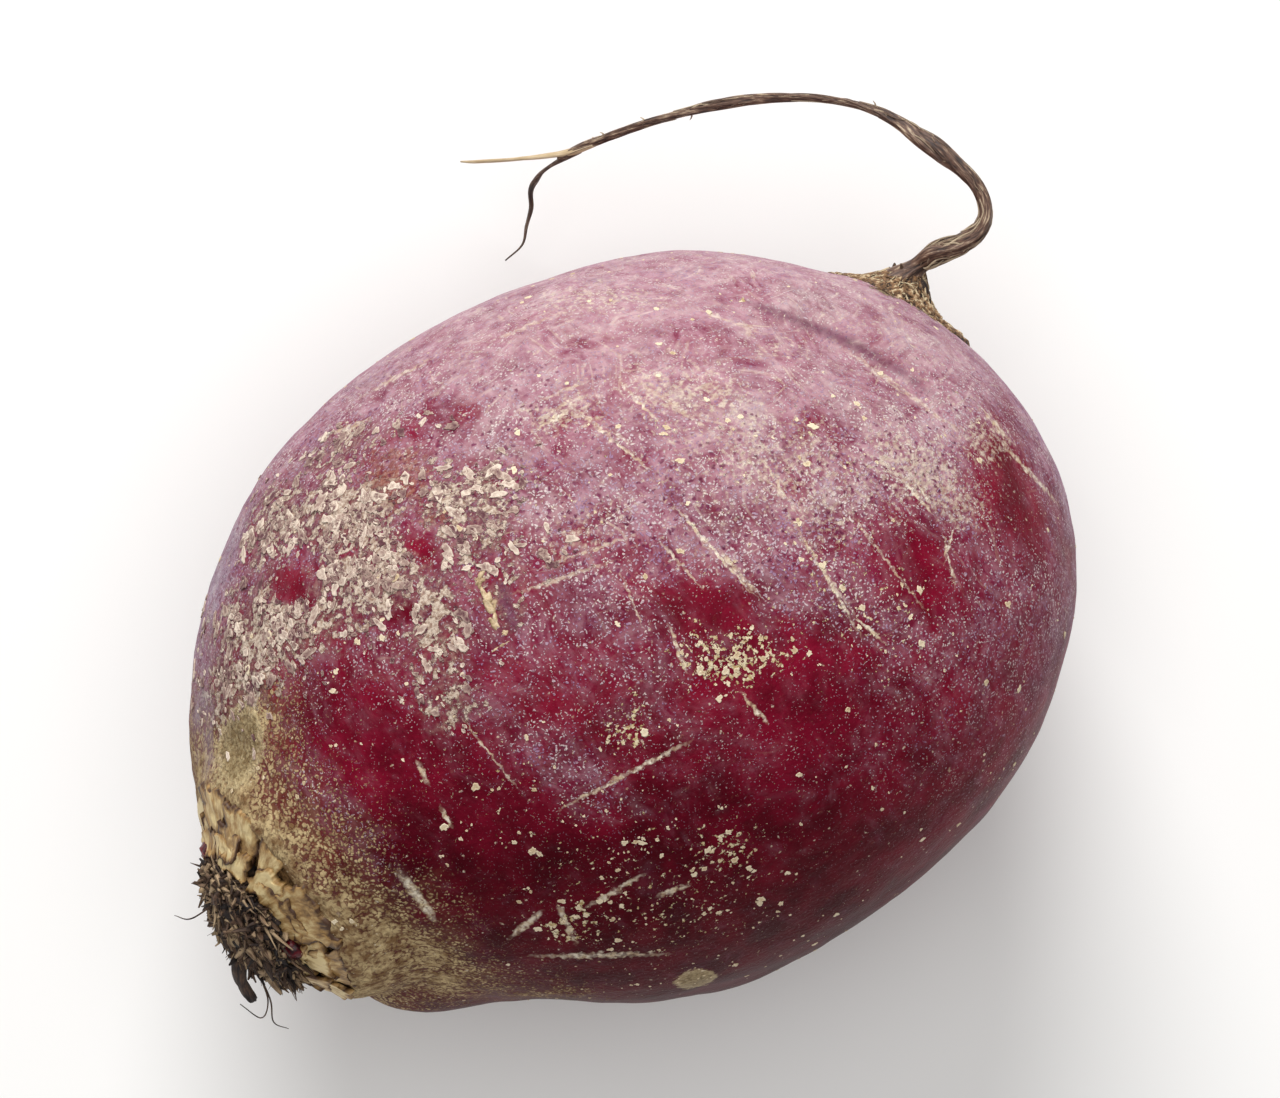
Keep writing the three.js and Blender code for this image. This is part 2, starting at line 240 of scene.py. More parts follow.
# Painted reflection: a bluish rim along the edge near the crown
RIM_REFLECTION_PATCHES = ((-44, 6, 10, 2.4, 72, 0.9), (-45, -8, 7, 1.6, 90, 0.7), (-38, 20, 8, 1.4, 52, 0.4))
# Dead round scars of old cork
SCARS = (
    (-40.4, -11.4, 3.9, 2.2, 76, 1),
    (6.4, -35.6, 1.8, 0.9, 10, 1),
    (-14.2, 3.2, 0.8, 0.5, 65, 0.45),
)

# How dusty the skin is and how grainy that dust, from low in the view to high in it. The dust
# is laid thicker high in the view, towards the large soft light, as painted sheen over the bloom
DUST_AND_SHEEN_UP = (-36, -20, -8, 2, 14, 30, 38)
DUST_AND_SHEEN_AMOUNT = (0.0, 0.06, 0.24, 0.5, 0.7, 0.82, 0.88)
GRAIN_UP = (-30, -8, 14, 30)
GRAIN_AMOUNT = (1.1, 1.15, 0.95, 0.5)
# How much tan cork is on the skin, by degrees from the crown's middle
COLLAR_REACH = (15, 19, 24, 35)
COLLAR_AMOUNT = (1.5, 1.0, 0.66, 0)
# Where the markings of the upper side fade out below the root's middle, in millimetres, and
# where the stump under the tuft and the bark round the neck end, in degrees
UPPER_FADE = (-16, -2)
CORE_EDGE = (14.4, 15.6)
BARK_EDGE = (6, 9)

# Scratches and rubs: start and end to the right and up the view, half width, strength
SCRATCHES = (
    ((-1.6, 26), (2.8, 21.4), 0.16, 0.8),
    ((5, 12.4), (7.6, 8.8), 0.17, 0.9),
    ((8.6, 8.8), (12.8, 4), 0.2, 0.9),
    ((-6.2, 23.4), (1.8, 16.8), 0.14, 0.7),
    ((-6.9, -17.2), (5.2, -10.8), 0.2, 1),
    ((-11.8, 4.4), (-2, 7.6), 0.2, 0.55),
    ((37.8, 20), (44.2, 13.6), 0.2, 0.8),
    ((3.6, 1.2), (5.4, -3.6), 0.19, 0.95),
    ((11, -5.8), (13.4, -8.6), 0.2, 1),
    ((-17.2, -8.4), (-12, -15), 0.1, 0.8),
    ((-10, -33), (3, -32.8), 0.24, 0.8),
    ((-4.6, -27.6), (0.8, -24.4), 0.24, 0.8),
    ((-21.8, -12.6), (-20.8, -15), 0.2, 0.9),
    ((-23.8, -24), (-20.4, -29), 0.42, 0.9),
    ((2.4, -26.6), (5.6, -25.4), 0.24, 0.9),
    ((16.4, 10.4), (22.4, 2.2), 0.16, 0.6),
    ((10.8, 18.4), (18.4, 11.2), 0.14, 0.5),
    ((28.6, 16), (30.6, 12.8), 0.14, 0.8),
    ((31.6, 10.2), (32.8, 5), 0.12, 0.8),
    ((22.4, 1.8), (25.4, -0.6), 0.16, 0.9),
    ((-12.6, -31), (-9.4, -28.2), 0.3, 0.8),
    ((-7.6, -27.6), (-6, -31.4), 0.26, 0.8),
    ((-19.6, -17.2), (-18.4, -19.4), 0.2, 0.9),
    ((-32.6, 20.4), (-27, 22.2), 0.18, 0.7),
    ((-9.4, 24), (-4.4, 26), 0.2, 0.6),
    ((-6, 20.8), (-2.6, 22.6), 0.2, 0.6),
    ((35, 24.6), (39.6, 19.4), 0.14, 0.6),
    ((-5.6, 22.6), (1.6, 16.9), 0.13, 0.85),
    ((-0.9, 26.9), (9.4, 19.6), 0.2, 0.4),
    ((4.3, 13), (12.3, 4), 0.14, 0.9),
    ((16, 11.8), (22.8, 0.4), 0.16, 0.95),
    ((2.6, 9.6), (6.8, 5), 0.14, 0.7),
    ((-1.4, 6.6), (0.9, 1), 0.12, 0.7),
    ((13.2, 17.6), (16.4, 12.6), 0.12, 0.7),
    ((22.8, 11.4), (29.4, 2.8), 0.13, 0.6),
    ((27.4, 16), (30.6, 12.2), 0.14, 0.9),
    ((22, 29.2), (34.8, 20), 0.22, 0.5),
    ((36.2, 23), (38.2, 20.6), 0.13, 0.9),
    ((-10.2, 20.8), (-5.8, 23.4), 0.14, 0.8),
    ((-10, 21.8), (-5.2, 24.4), 0.12, 0.6),
    ((-9.6, 6.8), (0.6, 10.4), 0.16, 0.6),
    ((31.6, 7.6), (32.8, 11), 0.12, 0.8),
    ((6.6, 33.6), (13.4, 31), 0.16, 0.5),
    ((-28.4, 24.6), (-20.4, 28.8), 0.16, 0.6),
    ((-14.4, 30.4), (-7.4, 33.2), 0.16, 0.5),
)

# Coats on the skin, from the lowest up: the field that says where each is, which way its grain
# runs, the size of its ragged edges in mm with their detail and raggedness, where it starts and
# is full, its strength, two tones and their size in mm, its height in mm, and whether it is matt.
# A dotted coat is of round grains. Real grains of dust and cork are about 0.1 mm and too fine to
# show, so they are drawn as 0.4 mm.
Coat = namedtuple(
    "Coat", "field way size detail ragged start full strength dark pale tone_size height matt"
)
SKIN_COATS = (
    # The shade coat is painted shade: darker towards the bottom of the view and underneath, away
    # from the lights.
    ("shade", "plain", 6.0, 3.0, 0.8, 0.1, 1.0, 0.8, "#300208", "#48040f", 5.0, 0.0, False),
    # The next four coats are the dusty mauve bloom, laid paler and thicker high in the view as
    # painted sheen from the large soft light.
    ("film", "streaked", 2.2, 5.0, 1.3, 0.0, 1.15, 0.84, "#742e4c", "#ae8593", 1.0, 0.0, False),
    ("film", "plain", 4.0, 5.0, 1.0, 0.5, 1.05, 0.58, "#b08490", "#cdb0b2", 1.6, 0.0, False),
    ("film", "streaked", 7.0, 4.0, 2.6, 0.8, 1.5, 0.5, "#8f7c80", "#b8a8a2", 1.0, 0.0, False),
    ("film", "brushed", 0.9, 4.0, 2.8, 0.92, 1.7, 0.5, "#c4aaa4", "#e4d8cb", 1.0, 0.0, False),
    ("grain", "dotted", 0.36, 0.0, 1.4, 0.56, 1.1, 0.9, "#957694", "#d6c6c2", 3.0, 0.06, True),
    # The fold coat is painted shade: a dark line in the crease over the taproot end, and a painted
    # shadow beside the sap scab.
    ("fold", "plain", 1.0, 3.0, 0.5, 0.2, 0.95, 0.8, "#4f2638", "#6d4054", 1.0, 0.0, False),
    ("dryness", "plain", 0.55, 3.0, 2.8, 0.5, 1.2, 0.68, "#b7a38c", "#ddd0bb", 1.0, 0.0, True),
    ("collar", "plain", 2.6, 4.0, 1.0, 0.2, 1.2, 0.7, "#5d3a30", "#86684a", 1.6, 0.0, True),
    ("collar", "dotted", 0.42, 0.0, 1.0, 0.46, 0.96, 0.9, "#7d6040", "#ccb588", 1.6, 0.1, True),
    ("collar", "ringed", 0.4, 3.0, 3.0, 1.1, 1.9, 0.6, "#3f2818", "#5d4028", 1.0, -0.12, True),
    ("scurf", "plain", 1.5, 4.0, 2.0, 0.3, 1.0, 0.75, "#5e2d38", "#97766c", 0.6, 0.0, True),
    ("scurf", "plain", 1.2, 5.0, 3.6, 0.74, 0.9, 0.85, "#937968", "#d6c7b4", 0.4, 0.16, True),
    ("rust", "plain", 0.8, 4.0, 3.0, 0.35, 1.1, 0.7, "#6b2a20", "#9c6a58", 0.5, 0.08, False),
    ("flecks", "plain", 0.6, 4.0, 4.8, 1.06, 1.22, 0.9, "#b79f6c", "#e6d9b8", 0.5, 0.08, False),
    # The rim coat is a painted reflection of the pale floor: a lavender edge near the crown.
    ("rim", "plain", 3.0, 5.0, 1.5, 0.2, 1.2, 0.7, "#857484", "#b3a5b0", 2.0, 0.0, False),
    ("scar", "plain", 0.7, 3.0, 0.9, 0.22, 0.42, 0.7, "#a8936c", "#cbb991", 0.5, 0.12, False),
    ("scar", "plain", 0.7, 3.0, 0.9, 0.5, 0.7, 0.85, "#6c5638", "#9d8a66", 0.5, 0.0, False),
    ("core", "plain", 1.0, 3.0, 1.0, 0.4, 0.6, 1.0, "#2a180c", "#7a5c3a", 1.0, 0.0, False),
    ("bark", "ringed", 0.6, 3.0, 2.0, 0.4, 0.6, 1.0, "#3a2618", "#a18a66", 0.5, 0.2, False),
)
# The coat among them that tells how dusty the skin is, with its painted sheen
DUST_AND_SHEEN_COAT = 1

# Ways the grain runs: name, direction, its two axes for turning, stretch along each
GRAIN_WAYS = (
    ("ringed", CROWN_TOWARD, "ZY", (1.15, 1.15, 0.9)),
    ("streaked", STREAK_WAY, "XZ", (1.7, 1.0, 1.2)),
    ("scratched", STREAK_WAY, "XZ", (11.0, 0.6, 3.0)),
    ("brushed", RUB_WAY, "XZ", (8.0, 0.55, 3.0)),
)
# Pores and pits are about 0.1 mm wide on a real root, and both are drawn two to four times as
# coarse, so that they show. How far apart they are, in mm
PORE_SPACING = 1.1
PIT_SPACING = 0.8

# Loose flakes: field they lie in, seed, how many, smallest and largest half width, longest
# stretch, thickness, darkest and palest tint
SCURF_FLAKES = ("scurf", 9, 1500, (0.1, 0.54), 2.4, 0.1, (0.05, 0.9))
CREAM_FLAKES = ("flecks", 4, 900, (0.07, 0.36), 1.5, 0.05, (0.5, 1.1))
FLAKE_SIDES = 16
# A flake from its buried rim to its middle: share of its width, height in thicknesses, paleness.
# The paleness follows the height: painted light on the raised rim, painted shade at the buried rim
FLAKE_RINGS = ((1.04, -0.8, -1.6), (1.0, 1.0, 0.8), (0.75, 0.9, 0.2), (0.35, 0.5, -0.3))

# Hard lumps of dried sap: place to the right and up the view, half length, half width, turn in
# degrees, height
SCAB = (
    (-14.7, 3.5, 1.2, 0.7, -71, 0.3),
    (-14.0, 1.4, 1.0, 0.55, -60, 0.26),
    (-13.4, -1.0, 1.3, 0.32, 30, 0.12),
    (-15.5, 5.8, 0.9, 0.55, 60, 0.2),
    (-12.9, 0.4, 0.6, 0.35, 20, 0.16),
)

# Rings of dried leaf bases: how many, where they root and where they are torn off from the
# crown's middle, their height at the root and at the torn tip
LEAF_ROWS = (
    (12, 13.4, 9.2, 0.1, 0.5),
    (11, 11.2, 7.7, 0.4, 1.1),
    (8, 9.7, 7.0, 0.7, 1.7),
)
# The tuft hangs a little down the crown
STALK_SAG = np.array((0.0, -1.1, -0.6))

# Dark hooked stub and fine hairs at the lower edge of the tuft: points and radii
DROOPING_STUB = (
    ((-51.5, 4.6, 46.0), 0.6),
    ((-53.4, 3.9, 45.2), 0.74),
    ((-54.6, 2.6, 43.8), 0.7),
    ((-55.1, 1.3, 42.4), 0.72),
    ((-55.2, 0.4, 41.6), 0.66),
    ((-55.1, 0.0, 41.2), 0.4),
)
CROWN_HAIRS = (
    (
        ((-53, 1, 44), 0.1),
        ((-54.2, -1.2, 43), 0.08),
        ((-56, -2, 42), 0.07),
        ((-56.6, 0.6, 42), 0.05),
    ),
    (
        ((-53, 1, 44), 0.1),
        ((-54, -1.4, 43), 0.09),
        ((-55.4, -3.2, 41.6), 0.07),
        ((-54.8, -4.8, 41), 0.04),
    ),
    (((-51, 10, 50), 0.09), ((-53.6, 10.6, 49.6), 0.08), ((-54.6, 12, 48.6), 0.04)),
)

# Angle round the crown, distance from its middle, size
FLESH_SPOTS = ((-0.9, 7.6, 1.4), (1.4, 7.8, 1.2), (2.7, 8, 1.3), (-2.6, 8.2, 1.2))

# How many shredded fibres the tuft has and what share of them is long, how many rootlets and
# cords lie on the taproot, and how many cords and torn roots stand round the neck
TUFT_FIBRES = 2800
LONG_SHARE = 0.012
ROOTLETS = 9
TAPROOT_CORDS = 150
NECK_CORDS = 420
SIDE_ROOTS = 7

# Dried leaf, stalk, root and cork, all dull and fibrous: name, colour in its cracks, over most
# of it and along its ridges, roughness, how fine its streaks are round, round and along it, their
# contrast, relief in mm. Leaf bases are papery and tan, stalks nearly black in their depths, the
# bark is brown, and the cork of the neck and the scurf is crumbly. Fibres of 0.05 mm are drawn
# as streaks of 0.3 mm, so that they show.
# Where a piece's ridge field follows its relief, the crack colour is laid in its grooves as painted
# shade and the ridge colour on its crests as painted light.
FIBRES = (
    ("dry_leaf_base", "#452810", "#a8834e", "#dfc893", 0.55, (1.3, 1.3, 0.6), 2.1, 0.14),
    ("dry_stalk_fibre", "#1b0d0a", "#5f4431", "#b89d7a", 0.7, (3.0, 3.0, 0.8), 1.6, 0.1),
    ("dry_taproot_bark", "#27150f", "#684b3c", "#cbb799", 0.55, (5.0, 5.0, 0.7), 2.8, 0.1),
    ("dry_pale_root", "#8d7350", "#c3ab86", "#e0d0b2", 0.6, (3.0, 3.0, 0.6), 1.2, 0.08),
    ("neck_cork", "#22120b", "#85613f", "#dcc9a4", 0.75, (2.2, 2.2, 2.2), 2.4, 0.14),
    ("scurf_cork", "#5a3038", "#a0867a", "#dccbb9", 0.85, (1.6, 1.6, 1.6), 1.6, 0.06),
)

# Half the side of the board it lies on, in metres
FLOOR_HALF = 1.6
# Soft lights: name, place and width in metres, power in watts
LIGHTS = (
    ("large_soft_light", VIEW_UP * 0.78 - VIEW_RIGHT * 0.08 + UP * 0.6, 0.5, 8.6),
    ("overhead_fill", UP * 1.1, 0.9, 4.5),
)
SKY_STRENGTH = 0.36

# The camera looks straight down; millimetres
VIEW_CENTRE = np.array((6.6, 5.9, 36.0))
VIEW_WIDTH = 135.0
CAMERA_DISTANCE = 800.0
SENSOR_WIDTH = 36.0


# Small helpers


def mix(low, high, share):
    return low + (high - low) * share


def smooth_step(low, high, value):
    share = np.clip((value - low) / (high - low), 0, 1)
    return share * share * (3 - 2 * share)


def bell(value, width):
    return np.exp(-((value / width) ** 2))


def cloud(points, size, seed=0.0):
    """Smooth noise from about -1 to 1 at each point, its lumps about that size in millimetres."""
    places = np.asarray(points, float) / size + seed * 17.31
    values = [noise.noise(place) for place in places.reshape(-1, 3).tolist()]
    return np.array(values).reshape(places.shape[:-1])


def rough_cloud(points, size, seed=0.0, octaves=3):
    """The same with finer lumps on the larger ones."""
    return sum(cloud(points, size / 2**i, seed + i) / 2**i for i in range(octaves))


def polar(distance, angle, height):
    """Points at a distance and angle round an upright axis, at a height along it."""
    distance, angle, height = np.broadcast_arrays(distance, angle, height)
    return np.stack((distance * np.cos(angle), distance * np.sin(angle), height), axis=-1)


def ring_grid(columns, rows):
    """For a mound's points: the angles round its rings, and each ring's share from rim to top."""
    angles = np.linspace(0, math.tau, columns, endpoint=False)
    return np.meshgrid(angles, np.linspace(0, 1, rows))


def turn_gap(angle, other):
    """How far apart two angles are, from 0 to half a turn."""
    return np.abs((angle - other + math.pi) % math.tau - math.pi)


def smooth_path(stations, count):
    """Points and radii at even steps along a smooth curve through (point, radius) stations."""
    knots = np.array([(*point, radius) for point, radius in stations], float)
    knots = np.vstack((2 * knots[0] - knots[1], knots, 2 * knots[-1] - knots[-2]))
    fine = []
    for before, start, end, after in zip(knots, knots[1:], knots[2:], knots[3:]):
        for share in np.linspace(0, 1, CURVE_STEPS, endpoint=False):
            slope = (end - before) * share
            bend = (2 * before - 5 * start + 4 * end - after) * share**2
            turn = (3 * start - before - 3 * end + after) * share**3
            fine.append(0.5 * (2 * start + slope + bend + turn))
    fine = np.array([*fine, knots[-2]])
    travelled = np.r_[0, np.cumsum(np.linalg.norm(np.diff(fine[:, :3], axis=0), axis=1))]
    even = np.linspace(0, travelled[-1], count)
    path = np.stack([np.interp(even, travelled, column) for column in fine.T], axis=1)
    return path[:, :3], path[:, 3], even


class Shape:
    """A mesh that grows as strands, shells and mounds are added, with fields on its vertices."""

    def __init__(self):
        self.vertices = []
        self.faces = []
        self.fields = {}

    def add(self, vertices, faces, **fields):
        """Points in any grid; a field is one number for them all, or a number or vector each."""
        vertices = np.asarray(vertices, float).reshape(-1, 3)
        start = sum(len(part) for part in self.vertices)
        self.vertices.append(vertices)
        self.faces.extend([tuple(start + corner for corner in face) for face in faces])
        for name, values in fields.items():
            values = np.asarray(values, float)
            if not values.ndim:
                values = np.full(len(vertices), values)
            self.fields.setdefault(name, []).append(values.reshape(len(vertices), -1))

    def piece(self, name, material):
        """The finished object, at its place, with its fields stored for its material."""
        mesh = bpy.data.meshes.new(name)
        mesh.from_pydata((np.vstack(self.vertices) * MM).tolist(), [], self.faces)
        mesh.update()
        mesh.polygons.foreach_set("use_smooth", np.ones(len(mesh.polygons), bool))
        for field, parts in self.fields.items():
            values = np.concatenate(parts).astype(np.float32)
            is_vector = values.shape[1] == 3
            kind, item = ("FLOAT_VECTOR", "vector") if is_vector else ("FLOAT", "value")
            layer = mesh.attributes.new(field, kind, "POINT")
            layer.data.foreach_set(item, values.ravel())
        mesh.materials.append(material)
        made = bpy.data.objects.new(name, mesh)
        bpy.context.scene.collection.objects.link(made)
        return made


def strand(shape, stations, sides, steps, flat=1.0, twist=0.0, ribs=0.0, seed=0.0, tint=0.5):
    """A tapering strand. flat widens its section one way, twist turns it in degrees a millimetre,
    and ribs is how deep the lengthwise wrinkles are, as a share of the radius."""
    centres, radii, travelled = smooth_path(stations, steps + 1)
    along = np.gradient(centres, axis=0)
    along /= np.linalg.norm(along, axis=1)[:, None]
    side = unit(np.cross(along[0], UP if abs(along[0][2]) < 0.9 else (1, 0, 0)))
    angles = np.arange(sides) * math.tau / sides
    vertices = []
    grain = []
    folds = []
    for i in range(steps + 1):
        side = unit(side - along[i] * (side @ along[i]))
        other = np.cross(along[i], side)
        turn = math.radians(twist * travelled[i])
        wide = side * math.cos(turn) + other * math.sin(turn)
        thin = other * math.cos(turn) - side * math.sin(turn)
        section = np.c_[np.cos(angles), np.sin(angles), np.full(sides, travelled[i] * 0.1)]
        fold = cloud(section * (2.1, 2.1, 1), 1, seed)
        fold = 1.2 * np.sqrt(np.abs(fold)) - 0.55
        radius = radii[i] * (1 + ribs * fold)
        ring = np.outer(np.cos(angles) * radius * flat, wide)
        ring += np.outer(np.sin(angles) * radius / flat, thin)
        vertices.append(centres[i] + ring)
        grain.append(section * (1, 1, 10) + (seed, 0, 0))
        folds.append(fold)
    faces = []
    for i in range(steps):
        for k in range(sides):
            a = i * sides + k
            b = i * sides + (k + 1) % sides
            faces.append((a, b, b + sides, a + sides))
    end = steps * sides
    faces.append(tuple(reversed(range(sides))))
    faces.append(tuple(range(end, end + sides)))
    shape.add(vertices, faces, grain=grain, ridge=folds, tint=tint)


def shell(shape, top, under, **fields):
    """A closed shell between two grids of points, such as a leaf base's upper and lower face."""
    rows, columns = top.shape[:2]
    layer = rows * columns
    faces = []
    for j in range(rows - 1):
        for i in range(columns - 1):
            a = j * columns + i
            faces.append((a, a + 1, a + columns + 1, a + columns))
            b = a + layer
            faces.append((b, b + columns, b + columns + 1, b + 1))
    rim = [*range(columns - 1)]
    rim += [j * columns + columns - 1 for j in range(rows - 1)]
    rim += [(rows - 1) * columns + i for i in range(columns - 1, 0, -1)]
    rim += [j * columns for j in range(rows - 1, 0, -1)]
    for a, b in zip(rim, rim[1:] + rim[:1]):
        faces.append((b, a, a + layer, b + layer))
    doubled = {name: np.concatenate((field, field)) for name, field in fields.items()}
    shape.add(np.concatenate((top, under)), faces, **doubled)


def mound(shape, points, **fields):
    """A closed lump from rings of points, the first its rim and the last round its top."""
    rows, columns = points.shape[:2]
    faces = [tuple(reversed(range(columns)))]
    for j in range(rows - 1):
        for i in range(columns):
            a = j * columns + i
            b = j * columns + (i + 1) % columns
            faces.append((a, b, b + columns, a + columns))
    faces.append(tuple(range((rows - 1) * columns, rows * columns)))
    shape.add(points, faces, **fields)


# The skin's shape


CREASE_LINE = smooth_path([((*point, 0), 0) for point in CREASE], CREASE_STEPS + 1)[0][:, :2]


def crease_gap(right, up):
    """How near the crease over the taproot end runs, on which side of it, and how deep it is."""
    gap_right = right[:, None] - CREASE_LINE[None, :, 0]
    gap_up = up[:, None] - CREASE_LINE[None, :, 1]
    gaps = np.hypot(gap_right, gap_up)
    nearest = gaps.argmin(axis=1)
    above = np.take_along_axis(gap_up, nearest[:, None], 1)[:, 0] > 0
    fade = np.interp(nearest / CREASE_STEPS, *CREASE_FADE)
    return gaps.min(axis=1), above, fade


def crease_press(right, up):
    """How far the crease presses the skin in."""
    gap, above, fade = crease_gap(right, up)
    return CREASE_DEPTH * fade * bell(gap, np.where(above, *CREASE_WALLS))


def skin_distance(directions):
    """From the root's centre to its skin: an egg with swellings, a domed crown and a crease."""
    turn = math.radians(-LONG_AXIS_TURN)
    x = directions[:, 0] * math.cos(turn) - directions[:, 1] * math.sin(turn)
    y = directions[:, 0] * math.sin(turn) + directions[:, 1] * math.cos(turn)
    scaled = np.stack((x, y, directions[:, 2]), axis=1) / (BODY_SIZE / 2)
    distance = 1 / np.linalg.norm(scaled, axis=1)
    for toward, spread, rise in SWELLINGS:
        angle = np.degrees(np.arccos(np.clip(directions @ unit(toward), -1, 1)))
        distance += rise * bell(angle, spread)
    cosine = np.clip(directions @ CROWN_TOWARD, 0.5, 1)
    bend = np.maximum((1 - cosine**2) / (2 * CROWN_CURVE), 1e-7)
    dome = (np.sqrt(cosine**2 + 4 * CROWN_REACH * bend) - cosine) / (2 * bend)
    crown = 1 - smooth_step(*DOME_EDGES, np.degrees(np.arccos(cosine)))
    distance = mix(distance, dome, crown)
    above = directions[:, 2] > 0
    spots = directions[above] * distance[above, None]
    distance[above] -= crease_press(spots @ VIEW_RIGHT, spots @ VIEW_UP)
    return distance


def skin_spot(right, up):
    """The place on the upper skin that the view shows at that spot, from the root's centre."""
    flat = right * VIEW_RIGHT + up * VIEW_UP
    reach = np.linalg.norm(flat)
    steep, shallow = math.pi / 2, 0.0
    for _ in range(24):
        slope = (steep + shallow) / 2
        toward = flat / reach * math.cos(slope) + UP * math.sin(slope)
        place = toward * skin_distance(toward[None, :])[0]
        if np.linalg.norm(place[:2]) < reach:
            steep = slope
        else:
            shallow = slope
    return place


def spot_frame(toward, curve):
    """Where a direction leaves the skin, with two directions across it and the skin's curve."""
    turn = Vector(UP).rotation_difference(Vector(toward)).to_matrix()
    at = CENTRE + toward * skin_distance(toward[None, :])[0]
    return at, np.array(turn).T, curve


CROWN = spot_frame(CROWN_TOWARD, CROWN_CURVE)
NECK = spot_frame(NECK_TOWARD, NECK_CURVE)


def on_spot(spot, distance, angle, height):
    """Points at a distance and angle round a spot's middle, at a height off the skin."""
    at, axes, curve = spot
    distance, angle, height = np.broadcast_arrays(distance, angle, height)
    return at + polar(distance, angle, height - distance**2 / (2 * curve)) @ axes


def even_ball(count):
    """Directions spread evenly over a ball, as a cube's six grids pushed out, with their quads."""
    steps = np.tan(np.linspace(-math.pi / 4, math.pi / 4, count + 1))
    across, down = np.meshgrid(steps, steps)
    flat = np.ones_like(across)
    sides = (
        (flat, across, down),
        (-flat, -across, down),
        (-across, flat, down),
        (across, -flat, down),
        (-down, across, flat),
        (down, across, -flat),
    )
    row = count + 1
    j, i = np.divmod(np.arange(count * count), count)
    corner = j * row + i
    quads = []
    for number in range(len(sides)):
        a = corner + number * row * row
        quads.append(np.stack((a, a + 1, a + row + 1, a + row), axis=1))
    points = np.vstack([np.stack([part.ravel() for part in side], axis=1) for side in sides])
    points /= np.linalg.norm(points, axis=1)[:, None]
    _, kept, merged = np.unique(
        np.round(points, 6), axis=0, return_index=True, return_inverse=True
    )
    return points[kept], merged.ravel()[np.vstack(quads)]


def patches(right, up, spots, sharpness=1.5):
    """How strongly each place is inside the nearest of the soft-edged patches."""
    total = np.zeros(len(right))
    for at_right, at_up, half_length, half_width, turn, strength in spots:
        c, s = math.cos(math.radians(turn)), math.sin(math.radians(turn))
        along = (right - at_right) * c + (up - at_up) * s
        across = (up - at_up) * c - (right - at_right) * s
        reach = (along / half_length) ** 2 + (across / half_width) ** 2
        total = np.maximum(total, strength * np.exp(-0.7 * reach**sharpness))
    return total


# Colours and nodes

NOISE = "ShaderNodeTexNoise"
VORONOI = "ShaderNodeTexVoronoi"
SPHERE = "ShaderNodeTexGradient"
ATTRIBUTE = "ShaderNodeAttribute"
COORDINATES = "ShaderNodeTexCoord"
MAPPING = "ShaderNodeMapping"
VECTOR = "ShaderNodeVectorMath"
MATH = "ShaderNodeMath"
RANGE = "ShaderNodeMapRange"
MIX = "ShaderNodeMix"
SEPARATE = "ShaderNodeSeparateColor"
BUMP = "ShaderNodeBump"


def srgb(code):
    """An sRGB hex colour as the linear colour that shaders take."""
    channels = [int(code[i : i + 2], 16) / 255 for i in (1, 3, 5)]
    linear = [c / 12.92 if c <= 0.04045 else ((c + 0.055) / 1.055) ** 2.4 for c in channels]
    return (*linear, 1.0)


def add(tree, kind, inputs, output=0, **settings):
    """A node with its settings; each input takes a value or another node's output."""
    node = tree.nodes.new(kind)
    for setting, value in settings.items():
        setattr(node, setting, value)
    for socket, value in inputs.items():
        if isinstance(value, bpy.types.NodeSocket):
            tree.links.new(value, node.inputs[socket])
        else:
            node.inputs[socket].default_value = value
    return node.outputs[output]


def new_material(name, roughness, ior):
    material = bpy.data.materials.new(name)
    material.use_nodes = True
    tree = material.node_tree
    surface = tree.nodes["Principled BSDF"]
    surface.inputs["Roughness"].default_value = roughness
    surface.inputs["IOR"].default_value = ior
    return material, tree, surface


def paint(tree, colour, share, dark, pale, place, size):
    """Lays a coat over a colour where share says, its tone drifting between two colours over
    about that size in millimetres."""
    detail = max(1.0, math.log2(size / 0.1))
    tone = add(
        tree, NOISE, {"Vector": place, "Scale": 1 / size, "Detail": detail, "Roughness": 0.65}
    )
    tone = add(tree, RANGE, {0: tone, 1: 0.38, 2: 0.62})
    coat = add(tree, MIX, {0: tone, 6: srgb(dark), 7: srgb(pale)}, 2, data_type="RGBA")
    return add(tree, MIX, {0: share, 6: colour, 7: coat}, 2, data_type="RGBA")


def skin_places(tree):
    """Places on the skin in millimetres: plain, wobbly, and stretched along each way of grain."""
    metres = add(tree, COORDINATES, {}, "Object")
    plain = add(tree, VECTOR, {0: metres, "Scale": 1 / MM}, operation="SCALE")
    swirl = add(tree, NOISE, {"Vector": plain, "Scale": 0.09, "Detail": 1.0}, "Color")
    swirl = add(tree, VECTOR, {0: swirl, "Scale": 9.0}, operation="SCALE")
    swirled = add(tree, VECTOR, {0: plain, 1: swirl}, operation="ADD")
    # Round grains aren't stretched
    places = {"plain": plain, "dotted": plain}
    for name, way, axes, stretch in GRAIN_WAYS:
        turned = {"Rotation": Vector(way).to_track_quat(*axes).to_euler(), "Scale": stretch}
        places[name] = add(tree, MAPPING, {"Vector": swirled, **turned}, vector_type="TEXTURE")
    wobble = add(tree, NOISE, {"Vector": plain, "Scale": 1.3, "Detail": 3.0}, "Color")
    wobbly = add(tree, MIX, {0: 1.0, 6: plain, 7: wobble}, 2, data_type="RGBA", blend_type="ADD")
    return places, wobbly


